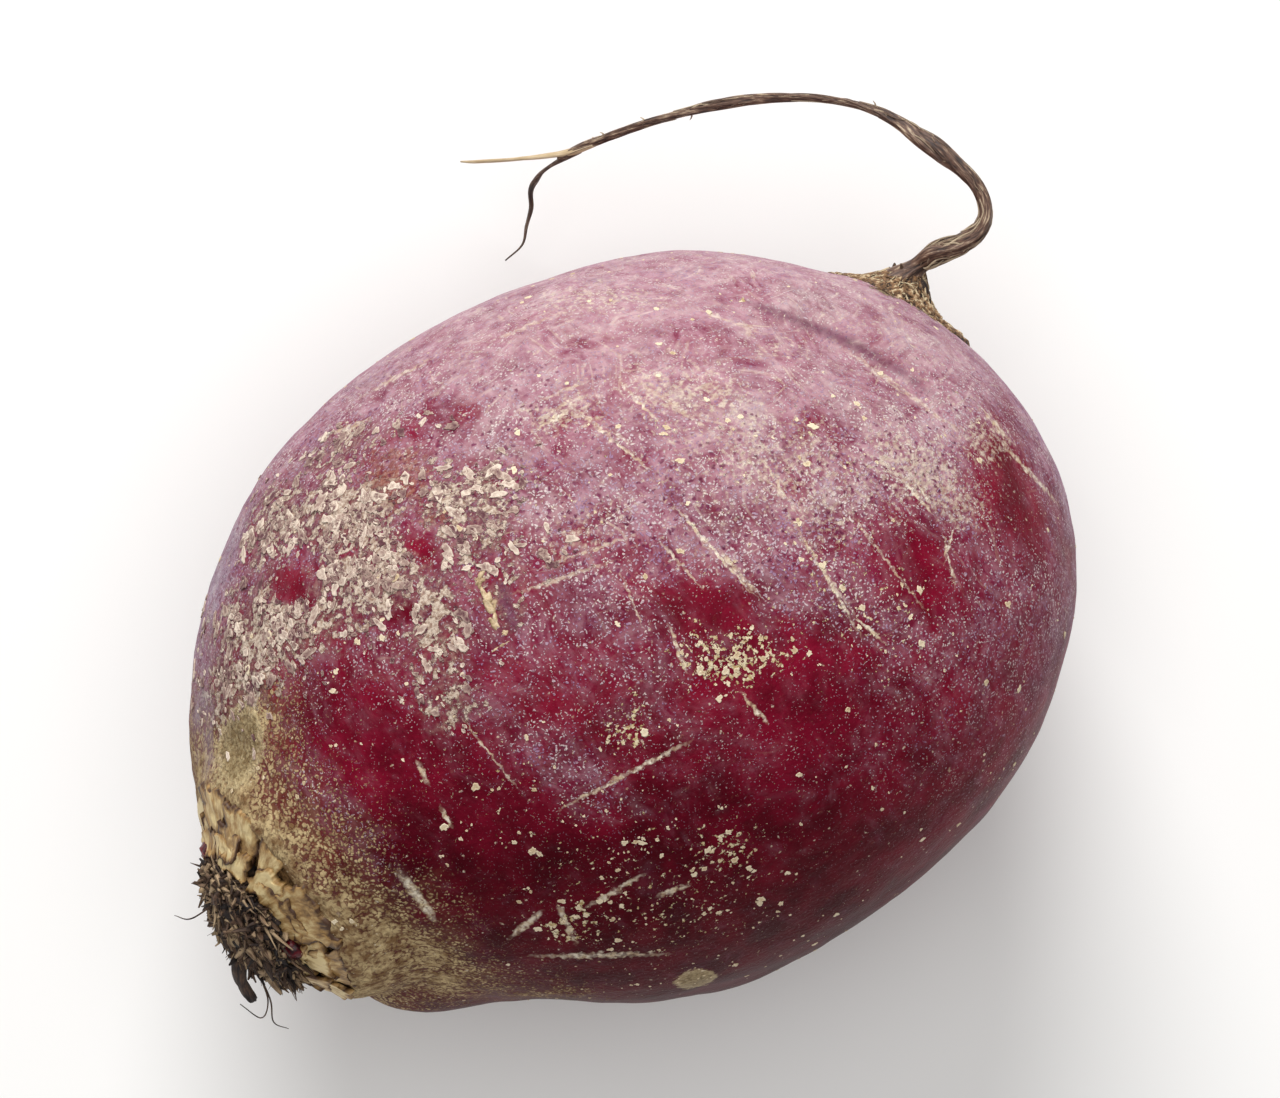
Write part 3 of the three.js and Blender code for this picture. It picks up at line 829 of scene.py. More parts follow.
def coat_share(tree, coat, places, wobbly):
    """How much of each place a coat covers, with ragged edges."""
    amount = add(tree, ATTRIBUTE, {}, "Fac", attribute_name=coat.field)
    if coat.way == "dotted":
        edge = add(tree, VORONOI, {"Vector": wobbly, "Scale": 1 / coat.size}, "Distance")
        edge = add(tree, RANGE, {0: edge, 1: 0.75, 2: 0.15})
    else:
        grain = {"Scale": 1 / coat.size, "Detail": coat.detail, "Roughness": 0.6}
        edge = add(tree, NOISE, {"Vector": places[coat.way], **grain})
    spread = {0: edge, 1: coat.ragged, 2: -coat.ragged / 2}
    edge = add(tree, MATH, spread, operation="MULTIPLY_ADD")
    amount = add(tree, MATH, {0: amount, 1: edge}, operation="ADD")
    limits = {0: amount, 1: coat.start, 2: coat.full, 4: coat.strength}
    return add(tree, RANGE, limits, interpolation_type="SMOOTHSTEP")


def scratch_marks(tree, marks, places, wobbly, film):
    """Adds to the pale marks fine scratches in the dust, and the long ones of the upper side."""
    for way, start in (("scratched", 0.6), ("brushed", 0.62)):
        line = add(tree, NOISE, {"Vector": places[way], "Scale": 1.0, "Detail": 3.0})
        where = add(tree, NOISE, {"Vector": places[way], "Scale": 0.12, "Detail": 2.0})
        where = add(tree, RANGE, {0: where, 1: 0.5, 2: 0.6, 4: 0.55})
        where = add(tree, MATH, {0: where, 1: film}, operation="MULTIPLY")
        line = add(tree, RANGE, {0: line, 1: start, 2: start + 0.1})
        line = add(tree, MATH, {0: line, 1: where}, operation="MULTIPLY")
        marks = add(tree, MATH, {0: marks, 1: line}, operation="MAXIMUM")
    broken = add(tree, NOISE, {"Vector": places["plain"], "Scale": 1.6, "Detail": 4.0})
    broken = add(tree, RANGE, {0: broken, 1: 0.4, 2: 0.56, 3: 0.25})
    for start, end, half_width, strength in SCRATCHES:
        first, last = skin_spot(*start), skin_spot(*end)
        length = np.linalg.norm(last - first)
        laid = {
            "Location": (first + last) / 2 + CENTRE + 0.5,
            "Rotation": Vector(last - first).to_track_quat("X", "Z").to_euler(),
            "Scale": (length * 0.6, half_width * 1.5, 6.0),
        }
        local = add(tree, MAPPING, {"Vector": wobbly, **laid}, vector_type="TEXTURE")
        line = add(tree, SPHERE, {"Vector": local}, "Fac", gradient_type="SPHERICAL")
        line = add(tree, RANGE, {0: line, 1: 0.0, 2: 0.5, 4: strength})
        line = add(tree, MATH, {0: line, 1: broken}, operation="MULTIPLY")
        marks = add(tree, MATH, {0: marks, 1: line}, operation="MAXIMUM")
    return marks


def skin_material():
    """Periderm of a beetroot: thin cork over red flesh, satin where it is clean, and matt where
    a dusty mauve bloom, dried soil or scaly scurf covers it. The bloom is painted paler high in the
    view as sheen, and the lower side darker as shade."""
    material, tree, surface = new_material("beet_periderm", 0.45, 1.38)
    places, wobbly = skin_places(tree)
    plain = places["plain"]

    # Red flesh shows through the clean skin, deeper in some places
    colour = paint(tree, srgb("#000000"), 1.0, "#5c0519", "#7a0b27", plain, 5.0)
    coats = [Coat(*row) for row in SKIN_COATS]
    shares = []
    for coat in coats:
        share = coat_share(tree, coat, places, wobbly)
        tones = (coat.dark, coat.pale, places[coat.way], coat.tone_size)
        colour = paint(tree, colour, share, *tones)
        shares.append(share)
    # How dusty the skin is, painted sheen high in the view included
    film = shares[DUST_AND_SHEEN_COAT]

    # Tiny pale pores
    cell = add(tree, VORONOI, {"Vector": wobbly, "Scale": 1 / PORE_SPACING}, "Distance")
    number = add(tree, SEPARATE, {0: cell.node.outputs["Color"]})
    wanted = add(tree, MATH, {0: number, 1: 0.4}, operation="LESS_THAN")
    dot = add(tree, RANGE, {0: cell, 1: 0.15, 2: 0.07, 4: 0.6})
    marks = add(tree, MATH, {0: dot, 1: wanted}, operation="MULTIPLY")

    # Dark pits in the dusty skin
    pit = add(tree, VORONOI, {"Vector": wobbly, "Scale": 1 / PIT_SPACING}, "Distance")
    number = add(tree, SEPARATE, {0: pit.node.outputs["Color"]})
    wanted = add(tree, RANGE, {0: number, 1: 0.2, 2: 0.3, 4: 0.9})
    pit = add(tree, RANGE, {0: pit, 1: 0.34, 2: 0.16})
    pit = add(tree, MATH, {0: pit, 1: wanted}, operation="MULTIPLY")
    dusty = add(tree, ATTRIBUTE, {}, "Fac", attribute_name="grain")
    dusty = add(tree, RANGE, {0: dusty, 1: 0.4, 2: 0.6})
    pit = add(tree, MATH, {0: pit, 1: dusty}, operation="MULTIPLY")
    colour = paint(tree, colour, pit, "#581636", "#763252", plain, 2.0)

    marks = scratch_marks(tree, marks, places, wobbly, film)
    colour = paint(tree, colour, marks, "#c4ad8c", "#ebe1cc", plain, 0.8)
    tree.links.new(colour, surface.inputs["Base Color"])

    # Dust and cork are matt, and dust is paler along the edge of the root
    covered = film
    for share, coat in zip(shares, coats):
        if coat.matt:
            covered = add(tree, MATH, {0: covered, 1: share}, operation="MAXIMUM")
    rough = add(tree, RANGE, {0: covered, 3: 0.4, 4: 0.75})
    tree.links.new(rough, surface.inputs["Roughness"])
    surface.inputs["Specular IOR Level"].default_value = 0.08
    dusty = add(tree, MATH, {0: film, 1: 0.3}, operation="MULTIPLY")
    tree.links.new(dusty, surface.inputs["Sheen Weight"])
    surface.inputs["Sheen Roughness"].default_value = 0.35
    surface.inputs["Sheen Tint"].default_value = srgb("#c9c2e0")

    # Relief, in millimetres: pebbled skin, flakes standing off it, and ridges in the cork
    relief = add(tree, NOISE, {"Vector": plain, "Scale": 1 / 0.5, "Detail": 2.0})
    relief = add(tree, MATH, {0: relief, 1: 0.1}, operation="MULTIPLY")
    relief = add(tree, MATH, {0: pit, 1: -0.08, 2: relief}, operation="MULTIPLY_ADD")
    for share, coat in zip(shares, coats):
        if coat.height:
            raised = {0: share, 1: coat.height, 2: relief}
            relief = add(tree, MATH, raised, operation="MULTIPLY_ADD")
    normal = add(tree, BUMP, {"Height": relief, "Strength": 0.9, "Distance": MM})
    tree.links.new(normal, surface.inputs["Normal"])
    return material


def fibre_material(name, dark, middle, pale, roughness, drawn, contrast, relief):
    """Dead plant fibre that dried in the air: dull and streaked lengthwise, painted darker in its
    grooves and paler on its ridges as shade and light.
    """
    material, tree, surface = new_material(name, roughness, 1.5)
    grain = add(tree, ATTRIBUTE, {}, "Vector", attribute_name="grain")
    tint = add(tree, ATTRIBUTE, {}, "Fac", attribute_name="tint")
    ridge = add(tree, ATTRIBUTE, {}, "Fac", attribute_name="ridge")
    drawn = add(tree, VECTOR, {0: grain, 1: drawn}, operation="MULTIPLY")
    streaks = add(tree, NOISE, {"Vector": drawn, "Scale": 1.0, "Detail": 6.0, "Roughness": 0.62})
    metres = add(tree, COORDINATES, {}, "Object")
    blotches = add(tree, NOISE, {"Vector": metres, "Scale": 420.0, "Detail": 4.0})
    # Painted shade and light: darker where the ridge field is low, in grooves and cracks, paler
    # where it is high
    shade = add(tree, MATH, {0: ridge, 1: 0.3, 2: tint}, operation="MULTIPLY_ADD")
    for pattern, weight in ((streaks, contrast), (blotches, 1.0)):
        centred = add(tree, MATH, {0: pattern, 1: 0.5}, operation="SUBTRACT")
        shade = add(tree, MATH, {0: centred, 1: weight, 2: shade}, operation="MULTIPLY_ADD")
    low = add(tree, RANGE, {0: shade, 1: 0.0, 2: 0.5})
    high = add(tree, RANGE, {0: shade, 1: 0.5, 2: 1.0})
    colour = add(tree, MIX, {0: low, 6: srgb(dark), 7: srgb(middle)}, 2, data_type="RGBA")
    colour = add(tree, MIX, {0: high, 6: colour, 7: srgb(pale)}, 2, data_type="RGBA")
    tree.links.new(colour, surface.inputs["Base Color"])
    height = add(tree, MATH, {0: streaks, 1: blotches}, operation="ADD")
    height = add(tree, MATH, {0: height, 1: relief}, operation="MULTIPLY")
    normal = add(tree, BUMP, {"Height": height, "Strength": 1.0, "Distance": MM})
    tree.links.new(normal, surface.inputs["Normal"])
    return material


def flesh_material():
    """Bare beetroot flesh where leaf stalks tore out: dark crimson, wet and glossy."""
    material, tree, surface = new_material("bare_beet_flesh", 0.28, 1.38)
    metres = add(tree, COORDINATES, {}, "Object")
    plain = add(tree, VECTOR, {0: metres, "Scale": 1 / MM}, operation="SCALE")
    colour = paint(tree, srgb("#000000"), 1.0, "#22030a", "#6a0618", plain, 0.9)
    tree.links.new(colour, surface.inputs["Base Color"])
    lumps = add(tree, NOISE, {"Vector": plain, "Scale": 1.3, "Detail": 3.0})
    normal = add(tree, BUMP, {"Height": lumps, "Strength": 0.6, "Distance": 0.2 * MM})
    tree.links.new(normal, surface.inputs["Normal"])
    return material


def floor_material():
    """Matt white painted board: an even pale ground that shows only soft shadows."""
    material, _, surface = new_material("white_painted_board", 0.7, 1.5)
    surface.inputs["Base Color"].default_value = srgb("#f2f1ef")
    return material


# The skin


def make_skin():
    """The whole skin, with a field on it for each coat that its material lays."""
    directions, quads = even_ball(SKIN_GRID)
    points = directions * skin_distance(directions)[:, None]
    right = points @ VIEW_RIGHT
    up = points @ VIEW_UP
    upper = smooth_step(*UPPER_FADE, points[:, 2])
    from_crown = np.degrees(np.arccos(np.clip(directions @ CROWN_TOWARD, -1, 1)))
    from_neck = np.degrees(np.arccos(np.clip(directions @ NECK_TOWARD, -1, 1)))
    broad = rough_cloud(points, 16, 1)
    middle = rough_cloud(points, 6, 4)
    fine = rough_cloud(points, 2.2, 7)
    wander_right = right + 1.2 * middle + 0.7 * fine
    wander_up = up + 1.2 * rough_cloud(points, 6, 9) - 0.7 * fine

    def marked(spots, sharpness=1.5):
        return patches(wander_right, wander_up, spots, sharpness)

    # How much of each coat lies at each place
    red = marked(RED_PATCHES) * upper
    scurf = marked(SCURF_PATCHES) * upper
    scurf = np.maximum(scurf, (1 - upper) * smooth_step(0.45, 0.9, broad + 0.5 * middle) * 0.7)
    scurf = np.clip(scurf * (1 - red), 0, 1)
    reach = from_crown + 4 * broad + 3 * middle
    collar = np.interp(reach, COLLAR_REACH, COLLAR_AMOUNT)
    band = marked(COLLAR_PATCHES, 1.0) * smooth_step(-30, -6, points[:, 2])
    collar = np.maximum(collar, band * (1 + 0.5 * middle))
    # The dust thickens high in the view, towards the large soft light: painted sheen over the real
    # bloom, which the grain and the dryness follow
    dust_and_sheen_haze = np.interp(up + 4 * broad, DUST_AND_SHEEN_UP, DUST_AND_SHEEN_AMOUNT)
    dust_and_sheen_haze = mix(0.3 + 0.3 * broad, dust_and_sheen_haze, upper)
    dust_and_sheen_haze = np.maximum(dust_and_sheen_haze, marked(DUST_AND_SHEEN_PATCHES) * upper)
    film = dust_and_sheen_haze * (1 - 0.9 * red) * (1 - 0.3 * scurf) + (0.14 * middle + 0.1 * fine) * dust_and_sheen_haze
    grain = film * np.interp(up + 5 * broad, GRAIN_UP, GRAIN_AMOUNT)
    # Painted shade along the crease, and a painted shadow beside the sap scab
    gap, above, fade = crease_gap(right, up)
    fold = 0.95 * fade * bell(gap, np.where(above, 0.6, 1.0)) * upper
    fold = np.maximum(fold, patches(right, up, SCAB_SHADOW_PATCHES) * upper)
    # Painted shade: darker low in the view and on the underside, away from the large soft light
    shade = smooth_step(4, -36, up) * upper + 0.5 * (1 - upper) + 0.1 * broad
    dryness = 0.9 * (marked(DRY_PATCHES) * upper)
    dryness = np.maximum(0.36 * dust_and_sheen_haze + 0.02, dryness) + 0.2 * broad - 0.3 * red
    flecks = np.maximum(marked(FLECK_PATCHES) * upper, 0.1 + 0.12 * broad)
    core = 1 - smooth_step(*CORE_EDGE, from_crown)

    # Low relief in millimetres: lumps, scaly scurf and cork, the torn crown, and the neck's foot
    rise = 0.3 * broad + 0.1 * middle + 0.03 * fine
    rise *= smooth_step(10, 18, from_crown)
    rise += scurf * (0.12 + 0.16 * fine)
    rise += 0.1 * collar * (fine + 0.5)
    rise -= 0.5 * core
    rise += 1.2 * bell(from_neck, 6.5)
    points += directions * rise[:, None]

    placed = points + CENTRE
    placed[:, 2] = np.maximum(placed[:, 2], 0.0)
    shape = Shape()
    shape.add(
        placed,
        quads.tolist(),
        shade=shade,
        film=film,
        grain=grain,
        fold=fold,
        dryness=dryness,
        collar=collar,
        scurf=scurf,
        flecks=flecks,
        rust=marked(RUST_PATCHES) * upper,
        rim=marked(RIM_REFLECTION_PATCHES, 1.0) * smooth_step(-24, 0, points[:, 2]),
        scar=patches(right, up, SCARS) * upper,
        core=core,
        bark=1 - smooth_step(*BARK_EDGE, from_neck + 2 * fine),
    )
    return shape.piece("beet_skin", skin_material())


def torn_outline(draw, angles):
    """How far a torn edge stands out at each angle, about one."""
    outline = np.ones(len(angles))
    for lobes in range(2, 8):
        depth = draw.uniform(0, 0.42) / lobes**0.5
        outline += depth * np.cos(lobes * angles + draw.uniform(0, math.tau))
    return np.maximum(outline, 0.25)


def make_flakes(skin, material, field, seed, count, sizes, stretch, rise, tints):
    """Loose flakes of dry cork lying on the skin where a field says, their torn edges curled up."""
    draw = random.Random(seed)
    amounts = np.zeros(len(skin.data.vertices), np.float32)
    skin.data.attributes[field].data.foreach_get("value", amounts)
    places = np.zeros(len(amounts) * 3, np.float32)
    skin.data.vertices.foreach_get("co", places)
    places = places.reshape(-1, 3) / MM
    likely = np.clip(amounts, 0, 1) ** 1.6 * smooth_step(-0.25, 0.35, rough_cloud(places, 3.2, 6))
    shape = Shape()
    angles = np.linspace(0, math.tau, FLAKE_SIDES, endpoint=False)
    flow = unit(STREAK_WAY)
    ridge = np.repeat([paleness for _, _, paleness in FLAKE_RINGS], FLAKE_SIDES)
    for i in draw.choices(range(len(likely)), likely.tolist(), k=count):
        out = np.array(skin.data.vertices[i].normal)
        level = unit(flow - out * (flow @ out) + 1e-4)
        steep = np.cross(out, level)
        way = draw.gauss(0, 0.7)
        along = level * math.cos(way) + steep * math.sin(way)
        across = np.cross(out, along)
        middle = places[i] + along * draw.uniform(-0.5, 0.5) + across * draw.uniform(-0.5, 0.5)
        size = sizes[0] * (sizes[1] / sizes[0]) ** (draw.random() ** 1.7)
        length = size * draw.uniform(1, stretch)
        ragged = torn_outline(draw, angles)
        tilt = draw.uniform(0, 0.5) * np.cos(angles - draw.uniform(0, 6))
        rings = []
        for share, height, _ in FLAKE_RINGS:
            ring = np.outer(np.cos(angles) * ragged * length * share, along)
            ring += np.outer(np.sin(angles) * ragged * size * share, across)
            ring += np.outer(rise * (height + tilt * share), out)
            rings.append(middle + ring)
        points = np.array(rings)
        tint = draw.uniform(*tints)
        # A flake that would reach into the floor is left out
        if points[..., 2].min() > 0:
            mound(shape, points, grain=points, ridge=ridge, tint=tint)
    return shape.piece(field + "_flakes", material)


def make_scab(material):
    """A yellowish scab of hard sap and cork on the upper side."""
    draw = random.Random(2)
    shape = Shape()
    angles = np.linspace(0, math.tau, 40, endpoint=False)
    for at_right, at_up, half_length, half_width, turn, height in SCAB:
        middle = skin_spot(at_right, at_up)
        out = unit(middle / BODY_SIZE**2)
        along = VIEW_RIGHT * math.cos(math.radians(turn)) + VIEW_UP * math.sin(math.radians(turn))
        along = unit(along - out * (along @ out))
        across = np.cross(out, along)
        ragged = torn_outline(draw, angles)
        rings = []
        for share in np.linspace(1, 0.06, 12):
            ring = np.outer(np.cos(angles) * ragged * half_length * share, along)
            ring += np.outer(np.sin(angles) * ragged * half_width * share, across)
            lumps = 1 + 0.7 * rough_cloud(ring, 0.9, at_up)
            level = mix(-0.3, height, (1 - share**4) ** 0.7) * lumps
            rings.append(CENTRE + middle + ring + np.outer(level, out))
        points = np.array(rings)
        mound(shape, points, grain=points, ridge=1.4 * rough_cloud(points, 0.7, 3), tint=0.4)
    return shape.piece("sap_scab", material)


# The crown


def leaf_plate(shape, draw, angle, half_angle, root, tip, foot, rise):
    """A dried leaf base: a thin crumpled plate with torn edges, its inner end lifting off."""
    seed = draw.uniform(0, 90)
    u, v = np.meshgrid(np.linspace(-1, 1, 33), np.linspace(0, 1, 25))
    middle = (root + tip) / 2
    across = u * half_angle * middle
    along = v * (root - tip)
    flat = np.stack((across + seed, along, np.full(u.shape, seed)), axis=-1)
    crumple = rough_cloud(flat, 2.6, 2)
    folds = np.abs(cloud(flat, 1.5, 3))
    torn = rough_cloud(flat, 1.1, 5)
    fibres = cloud(flat * (1, 0.15, 1), 0.3, 8)
    taper = 1 - draw.uniform(-0.1, 0.35) * v
    lean = draw.uniform(-0.3, 0.3)
    turn = angle + half_angle * (u * taper + 0.22 * torn * np.abs(u) ** 3 + lean * v)
    reach = mix(root, tip, v) + 0.7 * torn * (v**3 + (1 - v) ** 3)
    reach += draw.uniform(-0.7, 0.7) * u * v
    edge = np.maximum(np.abs(u) ** 10, np.maximum(v**10, (1 - v) ** 14))
    curl = np.maximum(np.abs(u) ** 4, v**4)
    lift = mix(foot, rise, v**1.7) + 0.2 * crumple + 0.1 * folds + 0.015 * fibres
    lift += draw.uniform(-0.35, 0.35) * u + draw.uniform(-0.1, 0.3) * curl - 0.1 * edge
    top = on_spot(CROWN, reach, turn, lift)
    under = on_spot(CROWN, reach, turn, lift - mix(0.7, 0.22, v))
    shell(
        shape,
        top[:, ::-1],
        under[:, ::-1],
        grain=np.stack((across * 1.1 + seed, crumple, along * 0.8), axis=-1)[:, ::-1],
        ridge=(0.35 * fibres - 2.0 * edge + 1.1 * crumple - 0.4 * v**3)[:, ::-1],
        tint=np.full(u.shape, draw.uniform(0.5, 0.95)),
    )


def make_leaf_plates(material):
    """Three rings of torn leaf bases round the tuft, the inner ones over the outer."""
    draw = random.Random(31)
    shape = Shape()
    for number, (count, root, tip, foot, rise) in enumerate(LEAF_ROWS):
        angle = 0.5 * number
        for _ in range(count):
            share = draw.uniform(0.6, 1.4) * math.tau / count
            angle += share / 2
            leaf_plate(
                shape,
                draw,
                angle,
                share / 2 * draw.uniform(0.84, 1.0),
                root + draw.uniform(-0.5, 0.3),
                tip + draw.uniform(-0.9, 0.9),
                foot + draw.uniform(-0.1, 0.2),
                rise * draw.uniform(0.5, 1.5),
            )
            angle += share / 2
    return shape.piece("leaf_plates", material)


def make_stalk_core(material):
    """The crumbly stump that the shredded stalks stand on."""
    shape = Shape()
    angle, share = ring_grid(96, 40)
    distance = mix(8.4, 0.15, share)
    ball = polar(distance, angle, share * 2)
    crumbs = rough_cloud(ball, 0.8, 8)
    height = mix(-0.8, 3.3, smooth_step(0, 0.55, share))
    height += 1.3 * rough_cloud(ball, 2.2, 3)
    height += 0.45 * crumbs
    points = on_spot(CROWN, distance, angle, height) + share[..., None] * STALK_SAG
    mound(shape, points, grain=ball, ridge=crumbs, tint=0.2)
    return shape.piece("stalk_core", material)


def make_stalk_fibres(material):
    """Shredded leaf-stalk stubs: crumpled ribbons and splinters crowded on the stump."""
    draw = random.Random(12)
    shape = Shape()
    golden_angle = math.pi * (3 - math.sqrt(5))
    for i in range(TUFT_FIBRES):
        share_out = math.sqrt((i + 0.5) / TUFT_FIBRES)
        angle = i * golden_angle + draw.uniform(-0.3, 0.3)
        long_one = draw.random() < LONG_SHARE
        length = draw.triangular(0.4, 2.0, 0.8) * (1.7 if long_one else 1)
        lean = math.radians(draw.triangular(30, 118, 84))
        way = draw.uniform(0, math.tau)
        width = draw.triangular(0.03, 0.26, 0.07) * (0.6 if long_one else 1)
        distance = 8.0 * share_out
        foot = on_spot(CROWN, distance, angle, draw.uniform(2.0, 4.1) - 1.6 * share_out**3)
        out = np.array((math.cos(way), math.sin(way), 0)) * math.sin(lean)
        out[2] = math.cos(lean)
        out = out @ CROWN[1]
        bend = np.array([draw.uniform(-1, 1) for _ in range(3)]) * length * 0.45
        stations = []
        for share in (-0.3, 0.2, 0.65, 1):
            point = foot + STALK_SAG * (0.6 + 0.4 * share)
            point = point + out * length * share + bend * share**2
            stations.append((point, width * (1 - 0.6 * share**2)))
        strand(
            shape,
            stations,
            4,
            5,
            flat=draw.uniform(1.2, 2.6),
            twist=draw.uniform(-40, 40),
            ribs=0.4,
            seed=draw.uniform(0, 50),
            tint=draw.triangular(-0.4, 1.3, 0.36),
        )
    return shape.piece("stalk_fibres", material)


def make_crown_extras(material):
    """A dark stub that droops from the tuft, and fine hairs beside it."""
    shape = Shape()
    strand(shape, DROOPING_STUB, 20, 40, flat=1.2, twist=9, ribs=0.6, seed=4, tint=0.12)
    for number, hair in enumerate(CROWN_HAIRS):
        strand(shape, hair, 6, 24, seed=number, tint=0.2)
    return shape.piece("stub_and_hairs", material)


def make_bare_flesh(material):
    """Lumps of red flesh between the plates and the tuft."""
    draw = random.Random(5)
    shape = Shape()
    for angle, distance, size in FLESH_SPOTS:
        turn, share = ring_grid(28, 14)
        slope = share * math.pi * 0.96 + 0.06
        ball = polar(np.sin(slope), turn, -np.cos(slope))
        lumps = 1 + 0.3 * rough_cloud(ball, 0.9, draw.uniform(0, 9))
        local = ball * lumps[..., None] * size * (1, 1, 0.8)
        mound(shape, on_spot(CROWN, distance, angle, 0.9) + local @ CROWN[1], tint=0)
    return shape.piece("bare_flesh", material)


# The taproot and the neck


def make_taproot(material):
    """The long twisted taproot and its dark branch, with broken rootlets and cords of bark."""
    shape = Shape()
    strand(shape, TAPROOT, 30, 340, flat=1.12, twist=8, ribs=0.55, seed=3, tint=0.36)
    strand(shape, SHORT_FORK, 10, 70, flat=1.2, twist=14, ribs=0.4, seed=8, tint=0.3)
    draw = random.Random(3)
    centres, radii, _ = smooth_path(TAPROOT, 200)
    for _ in range(ROOTLETS):
        i = draw.randrange(30, 195)
        along = unit(centres[i + 2] - centres[i])
        out = unit(np.cross(along, [draw.uniform(-1, 1) for _ in range(3)]))
        length = draw.uniform(0.25, 0.6)
        stations = [
            (centres[i], 0.14),
            (centres[i] + out * radii[i], 0.11),
            (centres[i] + out * (radii[i] + length * 0.6) + along * length * 0.4, 0.08),
            (centres[i] + out * (radii[i] + length) + along * length, 0.03),
        ]
        strand(shape, stations, 5, 8, seed=i, tint=draw.uniform(0.3, 0.9))
    # Cords of loose bark along it; the pale ones also stand in for glints, as painted highlights
    for _ in range(TAPROOT_CORDS):
        start = int(mix(18, 186, draw.random() ** 2))
        count = draw.randrange(5, 14)
        spin = draw.uniform(0, math.tau)
        stations = []
        for share in (0, 0.33, 0.67, 1):
            i = min(start + int(count * share), 198)
            along = unit(centres[i + 1] - centres[i])
            side = unit(np.cross(along, UP))
            out = side * math.cos(spin) + np.cross(side, along) * math.sin(spin)
            width = 0.02 + 0.06 * radii[i] * math.sin(math.pi * (0.1 + 0.8 * share))
            stations.append((centres[i] + out * radii[i] * 0.99, width))
            spin += draw.uniform(-0.6, 0.6)
        strand(shape, stations, 5, 14, flat=1.3, ribs=0.4, seed=start, tint=draw.uniform(0.4, 1.1))
    return shape.piece("taproot", material)


def make_pale_fork(material):
    """The taproot's pale bare branch."""
    shape = Shape()
    strand(shape, LONG_FORK, 10, 60, flat=1.15, twist=9, ribs=0.3, seed=5, tint=0.5)
    return shape.piece("taproot_fork", material)


def neck_rise(distance):
    """How high the neck flares off the skin at a distance from its middle."""
    foot = 1.2 * bell(distance * 1.22, 6.5)
    return foot + 0.25 + NECK_HEIGHT * np.clip(1 - distance / 5.5, 0, 1) ** 1.7


def on_neck(distance, angle, height):
    """Points round the neck at a height off the skin, the height measured along the taproot."""
    flat = on_spot(NECK, distance, angle, 0.0) - CENTRE
    toward = flat / np.linalg.norm(flat, axis=-1, keepdims=True)
    reach = skin_distance(toward.reshape(-1, 3)).reshape(toward.shape[:-1])
    return CENTRE + toward * reach[..., None] + NECK_TOWARD * np.asarray(height)[..., None]


def make_neck(material):
    """Rough bark round the taproot's foot, reaching further along one side of the skin."""
    angle, share = ring_grid(140, 46)
    lower_right = NECK[1] @ (VIEW_RIGHT * 0.79 - VIEW_UP * 0.61 + UP * 0.24)
    tail = math.atan2(lower_right[1], lower_right[0])
    gap = turn_gap(angle, tail)
    rim = 5.9 + 4.0 * bell(gap, 0.5) + 2.0 * bell(gap - math.pi, 0.5)
    rim += 0.6 * rough_cloud(polar(3, angle, 0), 1.2, 2)
    distance = mix(rim, 1.1, share)
    local = polar(distance, angle, 0)
    lumps = rough_cloud(local, 1.2, 3)
    cracks = smooth_step(0.5, 1, 1 - 2 * np.abs(cloud(local, 0.7, 6)))
    height = neck_rise(distance) + mix(-0.8, 0.1, smooth_step(0, 0.12, share))
    height += 0.26 * lumps - 0.42 * cracks
    shape = Shape()
    points = on_neck(distance, angle, height)
    mound(shape, points, grain=local, ridge=1.1 * lumps - 2.8 * cracks, tint=0.5)
    draw = random.Random(8)
    for i in range(NECK_CORDS):
        turn = draw.uniform(0, math.tau)
        gap = turn_gap(turn, tail)
        spread = 4.4 * bell(gap, 0.45) + 2.2 * bell(gap - math.pi, 0.45)
        reach = draw.uniform(1.2, 5.7 + spread)
        way = draw.gauss(math.pi / 2, 1.0)
        bend = draw.uniform(-1.6, 1.6)
        length = draw.triangular(0.3, 1.6, 0.6)
        thick = draw.triangular(0.035, 0.15, 0.06)
        stations = []
        for share in (-1, -0.5, 0, 0.5, 1):
            heading = way + bend * share
            out = max(reach + length * share * math.cos(heading), 0.8)
            spin = turn + length * share * math.sin(heading) / reach
            lift = neck_rise(out) + draw.uniform(0.02, 0.24) - 0.05 * out
            width = thick * (1 - 0.6 * share * share)
            stations.append((on_neck(out, spin, lift), width))
        strand(shape, stations, 5, 10, flat=1.2, ribs=0.4, seed=i, tint=draw.uniform(0.1, 1.1))
    return shape.piece("neck_bark", material)


def make_side_roots(material):
    """Short torn roots round the neck, and a hooked one that broke off."""
    draw = random.Random(8)
    shape = Shape()
    strand(shape, BROKEN_ROOT, 20, 46, flat=1.1, twist=6, ribs=0.6, seed=2, tint=0.08)
    for i in range(SIDE_ROOTS):
        turn = (i + draw.uniform(0, 0.8)) / SIDE_ROOTS * math.tau
        foot = draw.uniform(1.8, 3.2)
        length = draw.uniform(0.6, 1.4)
        stations = []
        for share in (0, 0.5, 1):
            reach = foot - 0.6 + length * share
            height = neck_rise(foot) + mix(-0.5, length * 0.4, share)
            place = on_spot(NECK, reach, turn + draw.uniform(-0.15, 0.15), height)
            stations.append((place, mix(0.45, 0.12, share)))
        strand(shape, stations, 8, 10, ribs=0.3, seed=i, tint=draw.uniform(0.1, 0.5))
    return shape.piece("torn_side_roots", material)


# Put together

plate_material, stalk_material, bark_material, fork_material, neck_material, scurf_material = [
    fibre_material(*recipe) for recipe in FIBRES
]
skin_piece = make_skin()

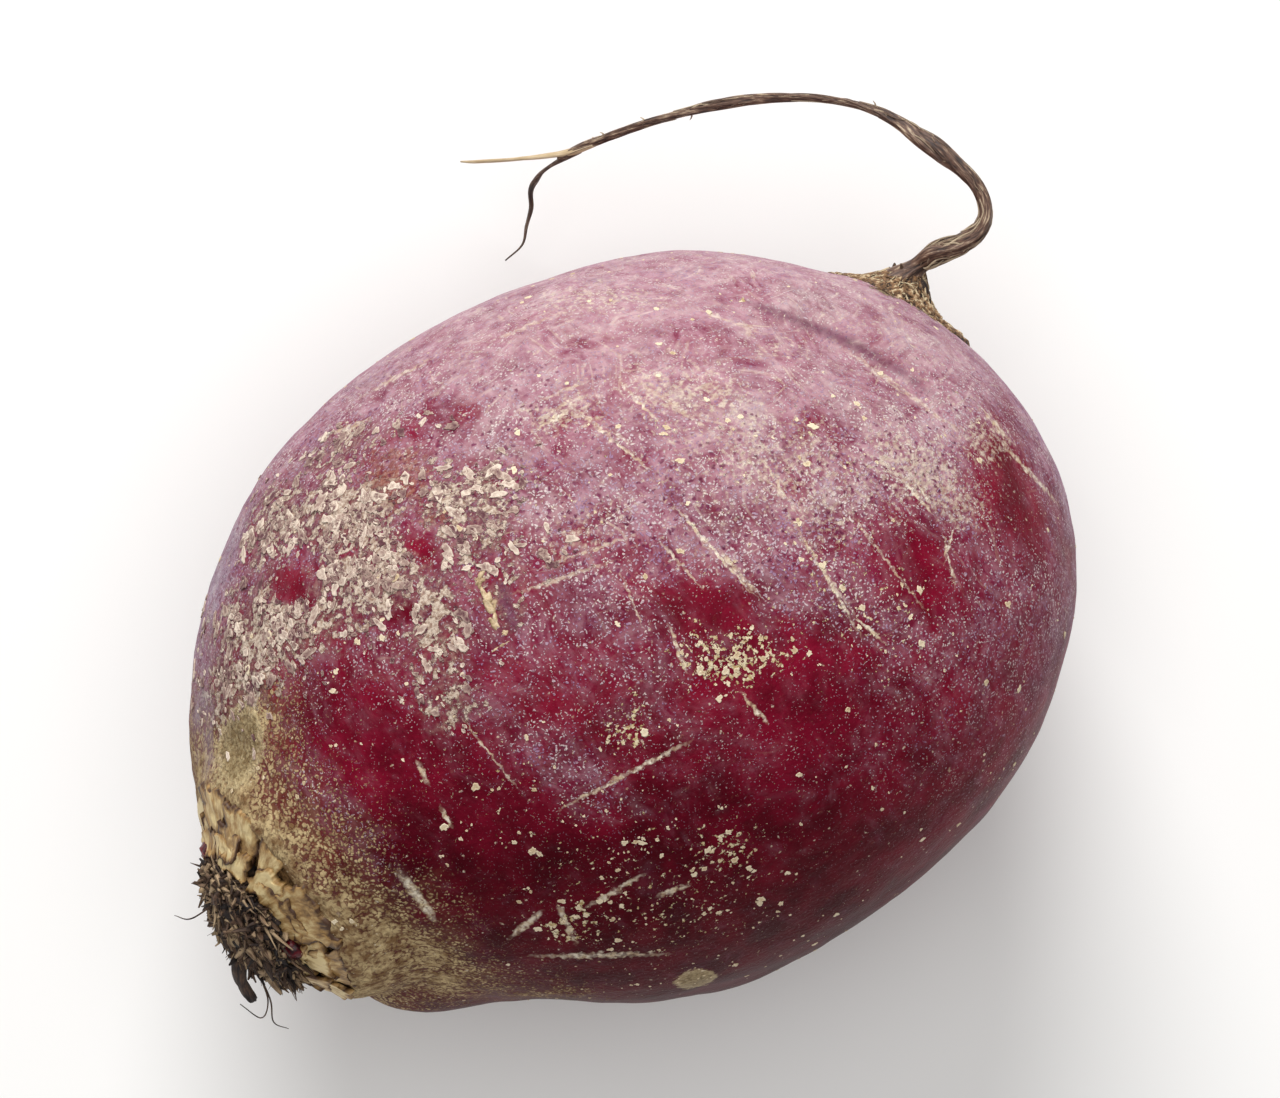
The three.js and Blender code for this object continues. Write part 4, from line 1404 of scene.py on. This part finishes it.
# Each piece, its slot, and the nodes it replaces
PIECES = (
    (skin_piece, "beet_skin", ("root",)),
    (make_flakes(skin_piece, scurf_material, *SCURF_FLAKES), "beet_skin", ()),
    (make_flakes(skin_piece, fork_material, *CREAM_FLAKES), "beet_skin", ()),
    (make_scab(fork_material), "beet_skin", ()),
    (make_leaf_plates(plate_material), "leaf_base", ("leaf_scales",)),
    (make_stalk_fibres(stalk_material), "leaf_stalk", ("stalk_stubs",)),
    (make_stalk_core(stalk_material), "leaf_stalk", ()),
    (make_crown_extras(stalk_material), "leaf_stalk", ()),
    (make_bare_flesh(flesh_material()), "beet_skin", ()),
    (make_taproot(bark_material), "leaf_stalk", ()),
    (make_pale_fork(fork_material), "leaf_base", ()),
    (make_neck(neck_material), "leaf_base", ()),
    (make_side_roots(stalk_material), "leaf_stalk", ()),
)
for piece, slot, replaced in PIECES:
    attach(piece, "root")
    if replaced:
        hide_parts(*replaced)

# Floor, light and camera

floor_mesh = bpy.data.meshes.new("floor")
floor_mesh.from_pydata(
    [(x * FLOOR_HALF, y * FLOOR_HALF, 0) for x, y in ((-1, -1), (1, -1), (1, 1), (-1, 1))],
    [],
    [(0, 1, 2, 3)],
)
floor_mesh.materials.append(floor_material())
floor = bpy.data.objects.new("floor", floor_mesh)
bpy.context.scene.collection.objects.link(floor)

for name, place, width, power in LIGHTS:
    data = bpy.data.lights.new(name, "AREA")
    data.shape = "DISK"
    data.size = width
    data.energy = power
    light = bpy.data.objects.new(name, data)
    light.location = place
    light.rotation_euler = Vector(place - CENTRE * MM).to_track_quat("Z", "Y").to_euler()
    bpy.context.scene.collection.objects.link(light)

world = bpy.data.worlds.new("studio")
bpy.context.scene.world = world
world.use_nodes = True
background = world.node_tree.nodes["Background"]
background.inputs["Color"].default_value = (1, 1, 1, 1)
background.inputs["Strength"].default_value = SKY_STRENGTH

camera_data = bpy.data.cameras.new("camera")
camera_data.sensor_width = SENSOR_WIDTH
camera_data.lens = SENSOR_WIDTH * CAMERA_DISTANCE / VIEW_WIDTH
camera = bpy.data.objects.new("camera", camera_data)
bpy.context.scene.collection.objects.link(camera)
turn = Matrix((VIEW_RIGHT, VIEW_UP, UP)).transposed().to_4x4()
camera.matrix_world = Matrix.Translation((VIEW_CENTRE + UP * CAMERA_DISTANCE) * MM) @ turn
bpy.context.scene.camera = camera
bpy.context.scene.view_settings.view_transform = "Standard"
